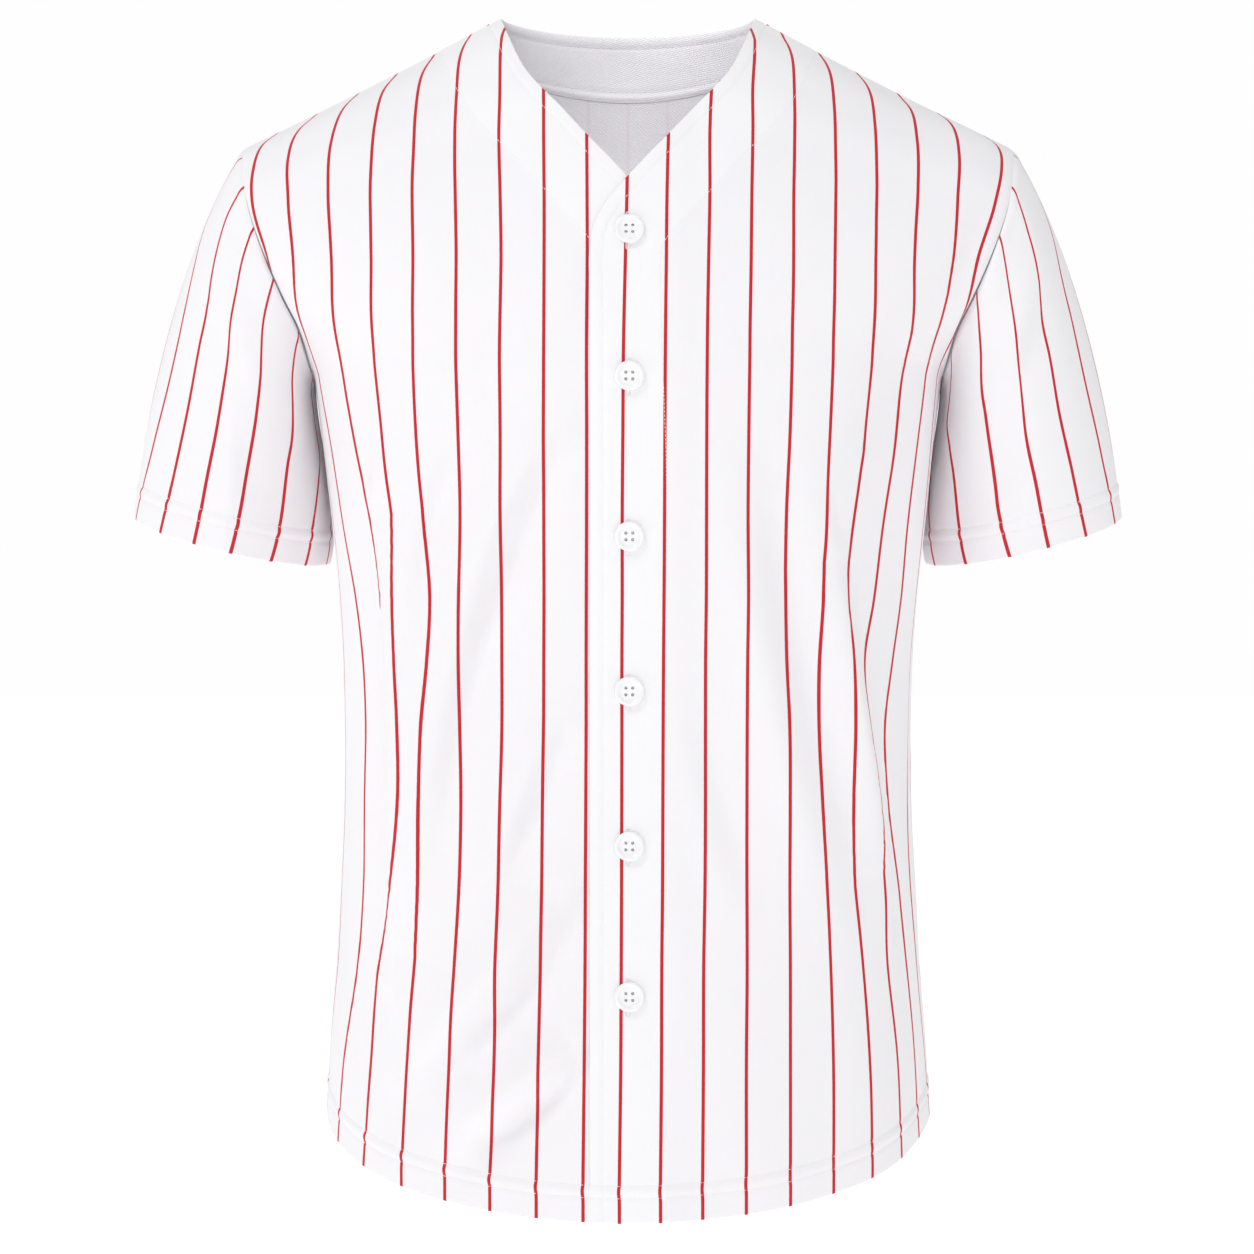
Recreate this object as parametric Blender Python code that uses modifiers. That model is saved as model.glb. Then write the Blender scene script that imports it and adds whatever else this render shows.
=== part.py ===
"""Baseball jersey in its worn shape, with no wearer.

White knitted cloth, button front with a V neck, short set-in sleeves and a curved hem.

Frame in metres: X to the wearer's left, Y to the back, +Z up. The origin lies midway between the two
neck points, on the level of the shoulder seams' inner ends, where the wearer's shoulders hold it up.
"""
import math

import bmesh
import bpy
import numpy as np
from mathutils import Matrix, Vector

# Cloth and sewing
CLOTH = 0.0012           # one layer of the knitted cloth
HEM = 0.0024             # a turned-up hem: two layers
HEM_HEIGHT = 0.0215
SEAM_GAP = 0.0003        # space between two pieces that are sewn together
LAP_GAP = 0.0005         # space between the two fronts where one lies over the other

# Front opening and neck
OVERLAP_HALF = 0.0226    # from the centre front to each front's free edge
LAP_END = 0.046          # where the over front is back on the chest's own surface
NECK_HALF_WIDTH = 0.081  # from the centre to a neck point
BACK_NECK_DEPTH = 0.075  # from the shoulder seams back to the middle of the neck edge
BACK_NECK_DROP = 0.002

# Buttons
BUTTON_RADIUS = 0.00905
BUTTON_THICKNESS = 0.0030
BUTTON_RIM = 0.0020
BUTTON_DISH = 0.0008
HOLE_RADIUS = 0.0010
HOLE_SPACING = 0.0040
BUTTON_HEIGHTS = (-0.140, -0.229, -0.326, -0.420, -0.514, -0.605)

# How finely the cloth is built
FRONT_COLUMNS = 18
NECK_COLUMNS = 5         # half of the back's columns that end on the neck edge
SHOULDER_COLUMNS = 8     # and those that end on the shoulder seam
SLEEVE_ROWS = 13
SECTION_SAMPLES = 240
SLEEVE_SAMPLES = 60
HEM_ROWS = (0.0, 0.0207, 0.0415)
FIRST_BODY_ROW = 0.0495  # just above the hem's top, where the wall is one layer again
BODY_ROWS = 16
CHEST_ROWS = 11
FACING_ROWS = (1.79, 1.865, 1.935, 2.0)
SLEEVE_STEP = 0.004      # from one layer to two above the sleeve's hem

# Sections of the body, from the hem (0) up to the underarm (1).
# height, side x, side z, front y, front z, back y, back z, squareness
BODY_SECTIONS = (
    (0.00, 0.1890, -0.680, -0.118, -0.741, 0.112, -0.750, 2.25),
    (0.10, 0.1868, -0.637, -0.117, -0.688, 0.108, -0.697, 2.32),
    (0.22, 0.1828, -0.586, -0.115, -0.624, 0.101, -0.632, 2.40),
    (0.34, 0.1796, -0.530, -0.113, -0.560, 0.093, -0.566, 2.45),
    (0.49, 0.1777, -0.460, -0.111, -0.478, 0.086, -0.482, 2.50),
    (0.62, 0.1790, -0.400, -0.111, -0.409, 0.087, -0.411, 2.50),
    (0.75, 0.1833, -0.340, -0.114, -0.343, 0.094, -0.344, 2.50),
    (0.88, 0.1900, -0.280, -0.118, -0.280, 0.102, -0.280, 2.50),
    (1.00, 0.1970, -0.225, -0.120, -0.225, 0.106, -0.225, 2.50),
)

# Sections of the chest, from the underarm (1) up to the shoulder seam (2).
# height, centre y, centre z, armhole x, armhole y, armhole z, wrap in degrees, squareness, drop power
FRONT_SECTIONS = (
    (1.00, -0.120, -0.225, 0.1970, 0.000, -0.225, 90, 2.50, 1.30),
    (1.12, -0.119, -0.196, 0.1990, -0.022, -0.216, 82, 2.45, 1.30),
    (1.25, -0.117, -0.165, 0.2040, -0.044, -0.198, 75, 2.40, 1.30),
    (1.40, -0.112, -0.131, 0.2135, -0.056, -0.178, 70, 2.30, 1.28),
    (1.55, -0.104, -0.099, 0.2235, -0.060, -0.155, 65, 2.20, 1.22),
    (1.70, -0.090, -0.064, 0.2335, -0.055, -0.128, 58, 2.10, 1.16),
    (1.85, -0.068, -0.018, 0.2395, -0.042, -0.102, 50, 2.00, 1.10),
    (1.94, -0.038, 0.022, 0.2418, -0.022, -0.086, 44, 2.00, 0.98),
    (2.00, 0.000, 0.0560, 0.2425, 0.000, -0.080, 40, 2.00, 0.85),
)
BACK_SECTIONS = (
    (1.00, 0.106, -0.225, 0.1970, 0.000, -0.225, 90, 2.50, 1.30),
    (1.12, 0.107, -0.198, 0.1990, 0.022, -0.216, 82, 2.45, 1.30),
    (1.25, 0.108, -0.170, 0.2030, 0.042, -0.196, 75, 2.40, 1.30),
    (1.40, 0.107, -0.136, 0.2110, 0.052, -0.172, 70, 2.30, 1.30),
    (1.55, 0.104, -0.101, 0.2190, 0.055, -0.148, 65, 2.20, 1.30),
    (1.70, 0.098, -0.065, 0.2280, 0.052, -0.123, 58, 2.10, 1.30),
    (1.85, 0.088, -0.030, 0.2360, 0.042, -0.101, 50, 2.00, 1.30),
    (1.94, 0.080, -0.011, 0.2410, 0.022, -0.086, 44, 2.00, 1.30),
    (2.00, 0.075, 0.000, 0.2425, 0.000, -0.080, 40, 2.00, 1.30),
)
HEM_RISE = 0.88          # power that lifts a body section towards the side seam
NECK_EASE = 1.8          # power that bends the back's upper sections round the neck
NECK_TURN = 0.31         # share of the back's top section that is neck, before the shoulder seam

# Free edge of the over front: height up the front, x. Negative x lies past the centre.
FRONT_EDGE = (
    (0.00, -OVERLAP_HALF),
    (1.20, -OVERLAP_HALF),
    (1.32, -OVERLAP_HALF),
    (1.39, -0.0195),
    (1.45, -0.0115),
    (1.51, 0.0000),
    (1.62, 0.0195),
    (1.74, 0.0415),
    (1.86, 0.0650),
    (1.94, 0.0752),
    (2.00, NECK_HALF_WIDTH),
)

# Left sleeve. The cuff is an oval round its middle; each side has its way out of the armhole and into
# the cuff, and the cloth between two sides shares theirs.
CUFF_MIDDLE = np.array((0.2492, 0.000, -0.3246))
CUFF_OUT = np.array((0.0615, 0.000, 0.0142))
CUFF_IN = np.array((-0.0600, 0.030, -0.0142))
CUFF_FRONT = np.array((0.0, -0.042, -0.0092))
CUFF_BACK = np.array((0.0, 0.055, 0.0080))
# side, direction out of the armhole (x, y, z), direction into the cuff (x, y, z)
SLEEVE_SIDES = (
    ("out", 0.110, 0.000, -0.167, 0.031, 0.000, -0.258),
    ("front", 0.075, -0.030, -0.150, 0.022, 0.010, -0.180),
    ("in", 0.004, 0.045, -0.110, 0.020, 0.000, -0.110),
    ("back", 0.075, 0.030, -0.150, 0.022, -0.004, -0.180),
)

# Largest folds. Across is measured along the cloth from the centre line, positive on the wearer's left.
# across and z at the start, the middle and the end, half width, height (a trough is below zero)
FRONT_FOLDS = (
    (-0.026, -0.245, -0.084, -0.350, -0.122, -0.520, 0.017, -0.0050),
    (-0.040, -0.435, -0.062, -0.490, -0.070, -0.540, 0.014, -0.0030),
    (-0.036, -0.550, -0.074, -0.600, -0.104, -0.650, 0.015, -0.0040),
    (-0.158, -0.290, -0.145, -0.440, -0.150, -0.600, 0.016, 0.0080),
    (0.084, -0.330, 0.106, -0.420, 0.122, -0.520, 0.016, -0.0045),
    (0.104, -0.345, 0.124, -0.395, 0.133, -0.440, 0.014, 0.0035),
    (0.128, -0.335, 0.141, -0.425, 0.172, -0.545, 0.016, 0.0070),
)
BACK_FOLDS = (
    (-0.030, -0.330, -0.080, -0.410, -0.120, -0.560, 0.018, -0.0050),
    (0.020, -0.350, 0.070, -0.430, 0.110, -0.580, 0.018, -0.0050),
    (-0.150, -0.300, -0.155, -0.430, -0.150, -0.600, 0.018, 0.0060),
    (0.152, -0.310, 0.158, -0.440, 0.155, -0.610, 0.018, 0.0060),
    (-0.010, -0.480, 0.000, -0.560, -0.015, -0.660, 0.018, 0.0040),
)
# On a sleeve, across is measured round the armhole from the shoulder, positive on the front.
SLEEVE_FOLDS = (
    (0.040, -0.130, 0.070, -0.190, 0.110, -0.260, 0.014, -0.0035),
    (0.080, -0.160, 0.110, -0.200, 0.140, -0.250, 0.012, -0.0030),
    (-0.040, -0.130, -0.080, -0.200, -0.110, -0.270, 0.014, -0.0035),
)
FOLD_STEPS = 25
SEAM_FADE = 0.020        # folds die out over this distance from a seam or the front overlap

# Base colour and roughness
CLOTH_WHITE = (0.86, 0.86, 0.89, 1.0)
FACING_WHITE = (0.78, 0.77, 0.82, 1.0)
BUTTON_WHITE = (0.90, 0.90, 0.89, 1.0)


def smooth(table, column, at):
    """One column of a table read at the places 'at', on a smooth curve through its rows."""
    keys = np.array([row[0] for row in table])
    values = np.array([row[column] for row in table])
    slopes = np.gradient(values, keys)
    at = np.clip(at, keys[0], keys[-1])
    low = np.clip(np.searchsorted(keys, at, side="right") - 1, 0, len(keys) - 2)
    span = keys[low + 1] - keys[low]
    t = (at - keys[low]) / span
    return ((2 * t**3 - 3 * t**2 + 1) * values[low] + (t**3 - 2 * t**2 + t) * span * slopes[low]
            + (3 * t**2 - 2 * t**3) * values[low + 1] + (t**3 - t**2) * span * slopes[low + 1])


def step_up(value, start, end):
    """0 before start, 1 after end and an even S between them."""
    t = np.clip((value - start) / (end - start), 0.0, 1.0)
    return t * t * (3 - 2 * t)


def unit(vectors):
    return vectors / np.maximum(np.linalg.norm(vectors, axis=-1, keepdims=True), 1e-9)


def lengths_along(points):
    """Distance of each point from the first one, measured along the line."""
    steps = np.linalg.norm(np.diff(points, axis=0), axis=-1)
    return np.concatenate([np.zeros_like(steps[:1]), np.cumsum(steps, axis=0)])


def rounded_quarter(turn, wrap, squareness):
    """Share of the width and of the depth on a rounded quarter section that ends at its wrap angle."""
    def on_curve(angle):
        reach = (np.sin(angle) ** squareness + np.cos(angle) ** squareness) ** (-1 / squareness)
        return reach * np.sin(angle), 1 - reach * np.cos(angle)
    width, depth = on_curve(turn * wrap)
    full_width, full_depth = on_curve(wrap)
    return width / full_width, depth / full_depth


def shoulder_height(x):
    """Height of the shoulder seam at the distance x from the centre."""
    _, _, centre_z, tip_x, _, tip_z, _, _, power = FRONT_SECTIONS[-1]
    return centre_z + (tip_z - centre_z) * (x / tip_x) ** power


def plain_sections(side, heights, turn):
    """Half sections of the front or the back, from the centre (turn 0) out to the seam (turn 1)."""
    chest = FRONT_SECTIONS if side == "front" else BACK_SECTIONS
    y_column = 3 if side == "front" else 5
    h = heights[:, None]
    is_body = h <= 1.0

    def read(body_column, chest_column):
        return np.where(is_body, smooth(BODY_SECTIONS, body_column, np.minimum(h, 1.0)),
                        smooth(chest, chest_column, np.maximum(h, 1.0)))

    centre_y, centre_z = read(y_column, 1), read(y_column + 1, 2)
    seam_x, seam_z = read(1, 3), read(2, 5)
    seam_y = np.where(is_body, 0.0, smooth(chest, 4, np.maximum(h, 1.0)))
    wrap = np.radians(np.where(is_body, 90.0, smooth(chest, 6, np.maximum(h, 1.0))))
    width, depth = rounded_quarter(turn[None, :], wrap, read(7, 7))
    drop = np.where(is_body, depth ** HEM_RISE, width ** smooth(chest, 8, np.maximum(h, 1.0)))
    return np.stack([seam_x * width, centre_y + (seam_y - centre_y) * depth,
                     centre_z + (seam_z - centre_z) * drop], axis=-1)


def back_top_line(turn):
    """The back's top edge: half of the round neck, then the shoulder seam out to its tip."""
    around = np.clip(turn / NECK_TURN, 0, 1) * math.pi / 2
    along = np.clip((turn - NECK_TURN) / (1 - NECK_TURN), 0, 1)
    tip_x = BACK_SECTIONS[-1][3]
    x = NECK_HALF_WIDTH * np.sin(around) + (tip_x - NECK_HALF_WIDTH) * along
    z = shoulder_height(np.maximum(x, NECK_HALF_WIDTH)) - BACK_NECK_DROP * np.cos(around) ** 2
    return np.stack([x, BACK_NECK_DEPTH * np.cos(around), z], axis=-1)


def half_sections(side, heights, turn):
    """Half sections with the back's top bent round the neck."""
    points = plain_sections(side, heights, turn)
    if side == "back":
        bend = back_top_line(turn) - plain_sections("back", np.array([2.0]), turn)[0]
        points = points + (np.clip(heights - 1.5, 0, None) / 0.5)[:, None, None] ** NECK_EASE * bend
    return points


def section_points(side, heights, starts, shares):
    """Points at the given shares of each section's length, with their distance from the centre line.
    A section starts at the x in 'starts'; a negative one lies past the centre."""
    turn = np.linspace(0.0, 1.0, SECTION_SAMPLES)
    grid, across = [], []
    for half, start in zip(half_sections(side, heights, turn), starts):
        length = lengths_along(half)
        first = math.copysign(np.interp(abs(start), half[:, 0], length), start)
        wanted = first + (length[-1] - first) * shares
        points = np.stack([np.interp(abs(wanted), length, half[:, axis]) for axis in range(3)], axis=-1)
        points[:, 0] *= np.where(wanted < 0, -1, 1)
        grid.append(points)
        across.append(wanted)
    return np.array(grid), np.array(across)


def back_shares():
    """Shares of a half back's section for its columns; one column ends on the neck point."""
    neck = lengths_along(back_top_line(np.linspace(0.0, NECK_TURN, SECTION_SAMPLES)))[-1]
    whole = lengths_along(back_top_line(np.linspace(0.0, 1.0, SECTION_SAMPLES)))[-1]
    inner = np.linspace(0.0, neck / whole, NECK_COLUMNS + 1)
    return np.concatenate([inner, np.linspace(neck / whole, 1.0, SHOULDER_COLUMNS + 1)[1:]])


def row_heights():
    """Heights of the rows from the hem to the shoulder seam; three rows hold the hem's two layers."""
    body = np.linspace(FIRST_BODY_ROW, 1.0, BODY_ROWS)
    chest = np.linspace(1.0, FACING_ROWS[0], CHEST_ROWS)
    return np.concatenate([HEM_ROWS, body, chest[1:-1], FACING_ROWS])


def sleeve_lines(loop, around, rows):
    """Points of the left sleeve on lines from the armhole loop down to the cuff."""
    cos, sin = np.cos(2 * math.pi * around)[:, None], np.sin(2 * math.pi * around)[:, None]
    cuff = (CUFF_MIDDLE + np.where(cos > 0, cos * CUFF_OUT, -cos * CUFF_IN)
            + np.where(sin > 0, sin * CUFF_FRONT, -sin * CUFF_BACK))
    shares = [np.clip(value, 0, None) ** 2 for value in (cos, sin, -cos, -sin)]
    leave = sum(share * np.array(side[1:4]) for share, side in zip(shares, SLEEVE_SIDES))
    meet = sum(share * np.array(side[4:7]) for share, side in zip(shares, SLEEVE_SIDES))
    t = np.linspace(0.0, 1.0, SLEEVE_SAMPLES)[:, None, None]
    dense = ((2 * t**3 - 3 * t**2 + 1) * loop + (t**3 - 2 * t**2 + t) * leave
             + (3 * t**2 - 2 * t**3) * cuff + (t**3 - t**2) * meet)
    lengths = lengths_along(dense)
    lines = []
    for column in range(len(loop)):
        whole = lengths[-1, column]
        above = np.linspace(0.0, whole - HEM_HEIGHT - SLEEVE_STEP, rows - 3)
        wanted = np.concatenate([above, [whole - HEM_HEIGHT, whole - HEM_HEIGHT / 2, whole]])
        lines.append(np.stack([np.interp(wanted, lengths[:, column], dense[:, column, axis])
                               for axis in range(3)], axis=-1))
    return np.array(lines).transpose(1, 0, 2)


def grid_normals(grid, closed=False):
    """Unit normals at a grid's points, pointing out of the garment."""
    around = np.roll(grid, -1, 1) - np.roll(grid, 1, 1) if closed else np.gradient(grid, axis=1)
    normals = unit(np.cross(around, np.gradient(grid, axis=0)))
    centre = grid.mean(axis=1, keepdims=True) if closed else np.array([0.0, 0.0, -0.3])
    return normals * np.sign((normals * (grid - centre)).sum())


def across_seam(line, normals, towards):
    """Unit directions that cross a seam square to its line and its normals, pointing to 'towards'."""
    directions = unit(np.cross(unit(np.gradient(line, axis=0)), normals))
    return directions * np.where((directions * towards).sum(axis=-1, keepdims=True) < 0, -1, 1)


def fold_heights(folds, across, z):
    """How far the folds lift or sink the cloth at each point of a panel."""
    lift = np.zeros_like(z)
    for ax, az, bx, bz, cx, cz, half_width, height in folds:
        nearest, place = np.full(z.shape, 1e9), np.zeros_like(z)
        for t in np.linspace(0.0, 1.0, FOLD_STEPS):
            at_a, at_b, at_c = (1 - t) * (1 - 2 * t), 4 * t * (1 - t), t * (2 * t - 1)
            distance = np.hypot(across - (ax * at_a + bx * at_b + cx * at_c),
                                z - (az * at_a + bz * at_b + cz * at_c))
            place = np.where(distance < nearest, t, place)
            nearest = np.minimum(nearest, distance)
        fade = np.sin(math.pi * np.clip(place, 0.05, 0.95)) ** 0.7
        lift += height * fade * np.exp(-(nearest / half_width) ** 2)
    return lift


def joined_panels():
    """Outer points and normals of the left front, the back and the left sleeve. Where two of them are
    sewn together they share normals, and each stays half a seam gap back from the seam."""
    heights = row_heights()
    chest = heights >= 1.0
    front, front_across = section_points("front", heights, smooth(FRONT_EDGE, 1, heights),
                                         np.linspace(0.0, 1.0, FRONT_COLUMNS))
    half, half_across = section_points("back", heights, np.zeros(len(heights)), back_shares())
    back = np.concatenate([(half * (-1, 1, 1))[:, :0:-1], half], axis=1)
    back_across = np.concatenate([-half_across[:, :0:-1], half_across], axis=1)
    front_loop, back_loop = front[chest, -1], back[chest, -1]
    loop = np.concatenate([front_loop[::-1], back_loop[1:-1]])
    share_front, share_back = lengths_along(front_loop), lengths_along(back_loop)
    around = np.concatenate([0.5 * (1 - share_front / share_front[-1])[::-1],
                             (0.5 + 0.5 * share_back / share_back[-1])[1:-1]])
    sleeve = sleeve_lines(loop, around, SLEEVE_ROWS)

    normals = {"front": grid_normals(front), "back": grid_normals(back),
               "sleeve": grid_normals(sleeve, closed=True)}
    at_sleeve = normals["sleeve"][0]
    at_sleeve_front = at_sleeve[:len(front_loop)][::-1]
    at_sleeve_back = np.concatenate([at_sleeve[len(front_loop) - 1:], at_sleeve[:1]])
    share_normals(normals, chest, at_sleeve_front, at_sleeve_back)
    settle_shoulder(normals["front"][-1], front[-1])
    settle_shoulder(normals["back"][-1], back[-1])
    front_armhole, back_armhole = normals["front"][chest, -1], normals["back"][chest, -1]
    normals["sleeve"][0] = np.concatenate([front_armhole[::-1], back_armhole[1:-1]])

    half_gap = SEAM_GAP / 2
    out_of_front = across_seam(front_loop, front_armhole, (1.0, 0.0, 0.0))
    out_of_back = across_seam(back_loop, back_armhole, (1.0, 0.0, 0.0))
    sleeve[0] += half_gap * np.concatenate([out_of_front[::-1], out_of_back[1:-1]])
    front[chest, -1] -= half_gap * out_of_front
    back[chest, -1] -= half_gap * out_of_back
    back[chest, 0] -= half_gap * out_of_back * (-1, 1, 1)
    to_the_back = np.array((0.0, half_gap, 0.0))
    side_rows = heights <= 1.0
    front[side_rows, -1] -= to_the_back
    back[side_rows, -1] += to_the_back
    back[side_rows, 0] += to_the_back
    front[-1] -= to_the_back
    back[-1] += to_the_back
    return {"front": (front, normals["front"], front_across),
            "back": (back, normals["back"], back_across),
            "sleeve": (sleeve, normals["sleeve"], around)}


def share_normals(normals, chest, at_sleeve_front, at_sleeve_back):
    """Gives the front, the back and the sleeve the same normals along the side seam and the armhole."""
    front, back = normals["front"], normals["back"]
    side = unit(front[~chest, -1] + back[~chest, -1])
    front[~chest, -1] = back[~chest, -1] = side
    below = np.linspace(1.0, 0.0, chest.sum())[:, None] ** 4 * np.array((0.0, 0.0, -1.0))
    front_armhole = unit(front[chest, -1] + at_sleeve_front + below)
    back_armhole = unit(back[chest, -1] + at_sleeve_back + below)
    for end in (0, -1):
        front_armhole[end] = back_armhole[end] = unit(front_armhole[end] + back_armhole[end])
    front[chest, -1], back[chest, -1] = front_armhole, back_armhole
    back[:, 0] = back[:, -1] * (-1, 1, 1)


def settle_shoulder(normals, line):
    """Turns the normals along a shoulder seam square to it, so that the front and back share them."""
    x = np.maximum(np.abs(line[:, 0]), NECK_HALF_WIDTH / 2)
    step = 0.001
    slope = (shoulder_height(x) - shoulder_height(x - step)) / step
    square = unit(np.stack([-slope * np.sign(line[:, 0]), np.zeros_like(x), np.ones_like(x)], axis=-1))
    on_seam = (x > NECK_HALF_WIDTH - step) & (x < FRONT_SECTIONS[-1][3] - step)
    normals[on_seam] = square[on_seam]


def wall_mesh(name, outer, inner, closed=False):
    """A closed wall between an outer and an inner grid of points, both split along the same diagonals."""
    rows, columns = outer.shape[:2]
    points = np.concatenate([outer.reshape(-1, 3), inner.reshape(-1, 3)])
    spans = columns if closed else columns - 1
    quads = []

    def at(row, column, layer):
        return layer * rows * columns + row * columns + column % columns

    for row in range(rows - 1):
        for column in range(spans):
            corners = ((row, column), (row, column + 1), (row + 1, column + 1), (row + 1, column))
            quads.append([at(*corner, 0) for corner in corners])
            quads.append([at(*corners[i], 1) for i in (0, 3, 2, 1)])
    rims = [[(0, column, 0), (0, column, 1), (0, column + 1, 1), (0, column + 1, 0)]
            for column in range(spans)]
    rims += [[(rows - 1, column + 1, 0), (rows - 1, column + 1, 1), (rows - 1, column, 1),
              (rows - 1, column, 0)] for column in range(spans)]
    if not closed:
        last = columns - 1
        rims += [[(row + 1, 0, 0), (row + 1, 0, 1), (row, 0, 1), (row, 0, 0)] for row in range(rows - 1)]
        rims += [[(row, last, 0), (row, last, 1), (row + 1, last, 1), (row + 1, last, 0)]
                 for row in range(rows - 1)]
    quads += [[at(*corner) for corner in rim] for rim in rims]
    triangles = [(a, b, c) for a, b, c, d in quads] + [(a, c, d) for a, b, c, d in quads]
    mesh = bpy.data.meshes.new(name)
    mesh.from_pydata([tuple(point) for point in points], [], triangles)
    shape = bmesh.new()
    shape.from_mesh(mesh)
    if shape.calc_volume(signed=True) < 0:
        bmesh.ops.reverse_faces(shape, faces=shape.faces[:])
    shape.to_mesh(mesh)
    shape.free()
    mesh.shade_smooth()
    mesh.set_sharp_from_angle(angle=math.radians(40))
    return mesh


def plain_material(name, colour, roughness):
    material = bpy.data.materials.new(name)
    material.use_nodes = True
    shader = material.node_tree.nodes["Principled BSDF"]
    shader.inputs["Base Color"].default_value = colour
    shader.inputs["Roughness"].default_value = roughness
    shader.inputs["Metallic"].default_value = 0.0
    return material


def add_piece(name, mesh, colour, roughness, collection):
    mesh.materials.append(plain_material(name + "_finish", colour, roughness))
    piece = bpy.data.objects.new(name, mesh)
    collection.objects.link(piece)
    return piece


def row_thickness(rows, hem_at_start):
    """Wall thickness for each row: two layers on the three rows of the hem, one layer elsewhere."""
    thickness = np.full((rows, 1, 1), CLOTH)
    thickness[slice(0, 3) if hem_at_start else slice(rows - 3, rows)] = HEM
    return thickness


def add_front(name, side, panel, collection):
    """One front. The left one lies over the right one at the centre, so it stands out by its own wall."""
    points, normals, across = panel
    thickness = row_thickness(len(points), hem_at_start=True)
    z = points[..., 2]
    lift = fold_heights(FRONT_FOLDS, across * side, z)
    lift *= step_up(across, 0.012, 0.012 + SEAM_FADE) * step_up(across[:, -1:] - across, 0.0, SEAM_FADE)
    if side > 0:
        lift += (thickness[..., 0] + LAP_GAP) * (1 - step_up(across, 0.026, LAP_END))
    outer = points + normals * lift[..., None]
    inner = outer - normals * thickness
    mirror = np.array((side, 1, 1))
    return add_piece(name, wall_mesh(name, outer * mirror, inner * mirror), CLOTH_WHITE, 0.7, collection)


def add_back_and_facing(panel, collection):
    """The back, and the facing strip inside its neck, made from the back's own points."""
    points, normals, across = panel
    thickness = row_thickness(len(points), hem_at_start=True)
    lift = fold_heights(BACK_FOLDS, across, points[..., 2])
    lift *= step_up(across[:, -1:] - abs(across), 0.0, SEAM_FADE)
    outer = points + normals * lift[..., None]
    inner = outer - normals * thickness
    add_piece("back", wall_mesh("back", outer, inner), CLOTH_WHITE, 0.7, collection)

    middle = points.shape[1] // 2
    rows = slice(len(points) - len(FACING_ROWS), len(points))
    columns = slice(middle - NECK_COLUMNS, middle + NECK_COLUMNS + 1)
    face = inner[rows, columns] - normals[rows, columns] * SEAM_GAP
    lining = face - normals[rows, columns] * CLOTH
    add_piece("back_neck_facing", wall_mesh("back_neck_facing", face, lining), FACING_WHITE, 0.7, collection)


def add_sleeve(name, side, panel, collection):
    points, normals, around = panel
    thickness = row_thickness(len(points), hem_at_start=False)
    loop_length = lengths_along(np.concatenate([points[0], points[0, :1]]))[-1]
    across = np.where(around > 0.5, around - 1.0, around) * loop_length
    place = np.linspace(0.0, 1.0, len(points))[:, None]
    lift = fold_heights(SLEEVE_FOLDS, across + 0 * place, points[..., 2])
    lift *= step_up(place, 0.0, 0.15) * (1 - step_up(place, 0.8, 0.95))
    outer = points + normals * lift[..., None]
    inner = outer - normals * thickness
    mirror = np.array((side, 1, 1))
    mesh = wall_mesh(name, outer * mirror, inner * mirror, closed=True)
    return add_piece(name, mesh, CLOTH_WHITE, 0.7, collection)


def button_mesh():
    """A round button with a raised rim, a sunk middle and four holes."""
    sunk = BUTTON_THICKNESS - BUTTON_DISH
    dish_radius = BUTTON_RADIUS - BUTTON_RIM
    outline = ((0.0, sunk), (dish_radius - 0.0007, sunk), (dish_radius + 0.0004, BUTTON_THICKNESS),
               (BUTTON_RADIUS - 0.0008, BUTTON_THICKNESS - 0.0002), (BUTTON_RADIUS, BUTTON_THICKNESS * 0.6),
               (BUTTON_RADIUS - 0.0009, 0.0), (0.0, 0.0))
    profile = bpy.data.meshes.new("button_outline")
    profile.from_pydata([(radius, 0.0, height) for radius, height in outline],
                        [(i, i + 1) for i in range(len(outline) - 1)], [])
    pattern = bpy.data.objects.new("button_pattern", profile)
    bpy.context.scene.collection.objects.link(pattern)
    turned = pattern.modifiers.new("turned", "SCREW")
    turned.steps = turned.render_steps = 20
    turned.use_merge_vertices = True
    turned.merge_threshold = 0.00001

    drills = bmesh.new()
    for across in (-0.5, 0.5):
        for up in (-0.5, 0.5):
            place = Matrix.Translation((across * HOLE_SPACING, up * HOLE_SPACING, BUTTON_THICKNESS / 2))
            bmesh.ops.create_cone(drills, cap_ends=True, segments=8, radius1=HOLE_RADIUS,
                                  radius2=HOLE_RADIUS, depth=BUTTON_THICKNESS * 2, matrix=place)
    drill_mesh = bpy.data.meshes.new("button_drills")
    drills.to_mesh(drill_mesh)
    drills.free()
    drill = bpy.data.objects.new("button_drills", drill_mesh)
    bpy.context.scene.collection.objects.link(drill)
    holes = pattern.modifiers.new("holes", "BOOLEAN")
    holes.operation = "DIFFERENCE"
    holes.solver = "EXACT"
    holes.object = drill

    shaped = pattern.evaluated_get(bpy.context.evaluated_depsgraph_get())
    mesh = bpy.data.meshes.new_from_object(shaped)
    mesh.name = "button"
    mesh.shade_smooth()
    mesh.set_sharp_from_angle(angle=math.radians(35))
    bpy.data.objects.remove(pattern)
    bpy.data.objects.remove(drill)
    return mesh


def add_buttons(collection):
    """Buttons down the centre front, flat on the over front."""
    heights = np.linspace(0.02, 1.5, 400)
    centre = plain_sections("front", heights, np.array([0.0]))[:, 0]
    slope = np.gradient(centre[:, 1], centre[:, 2])
    proud = CLOTH + LAP_GAP + SEAM_GAP
    mesh = button_mesh()
    mesh.materials.append(plain_material("button_finish", BUTTON_WHITE, 0.35))
    for number, z in enumerate(BUTTON_HEIGHTS, start=1):
        button = bpy.data.objects.new(f"button_{number}", mesh)
        face = Vector((0.0, -1.0, float(np.interp(z, centre[:, 2], slope)))).normalized()
        button.location = Vector((0.0, float(np.interp(z, centre[:, 2], centre[:, 1])), z)) + proud * face
        button.rotation_euler = face.to_track_quat("Z", "Y").to_euler()
        collection.objects.link(button)


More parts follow.
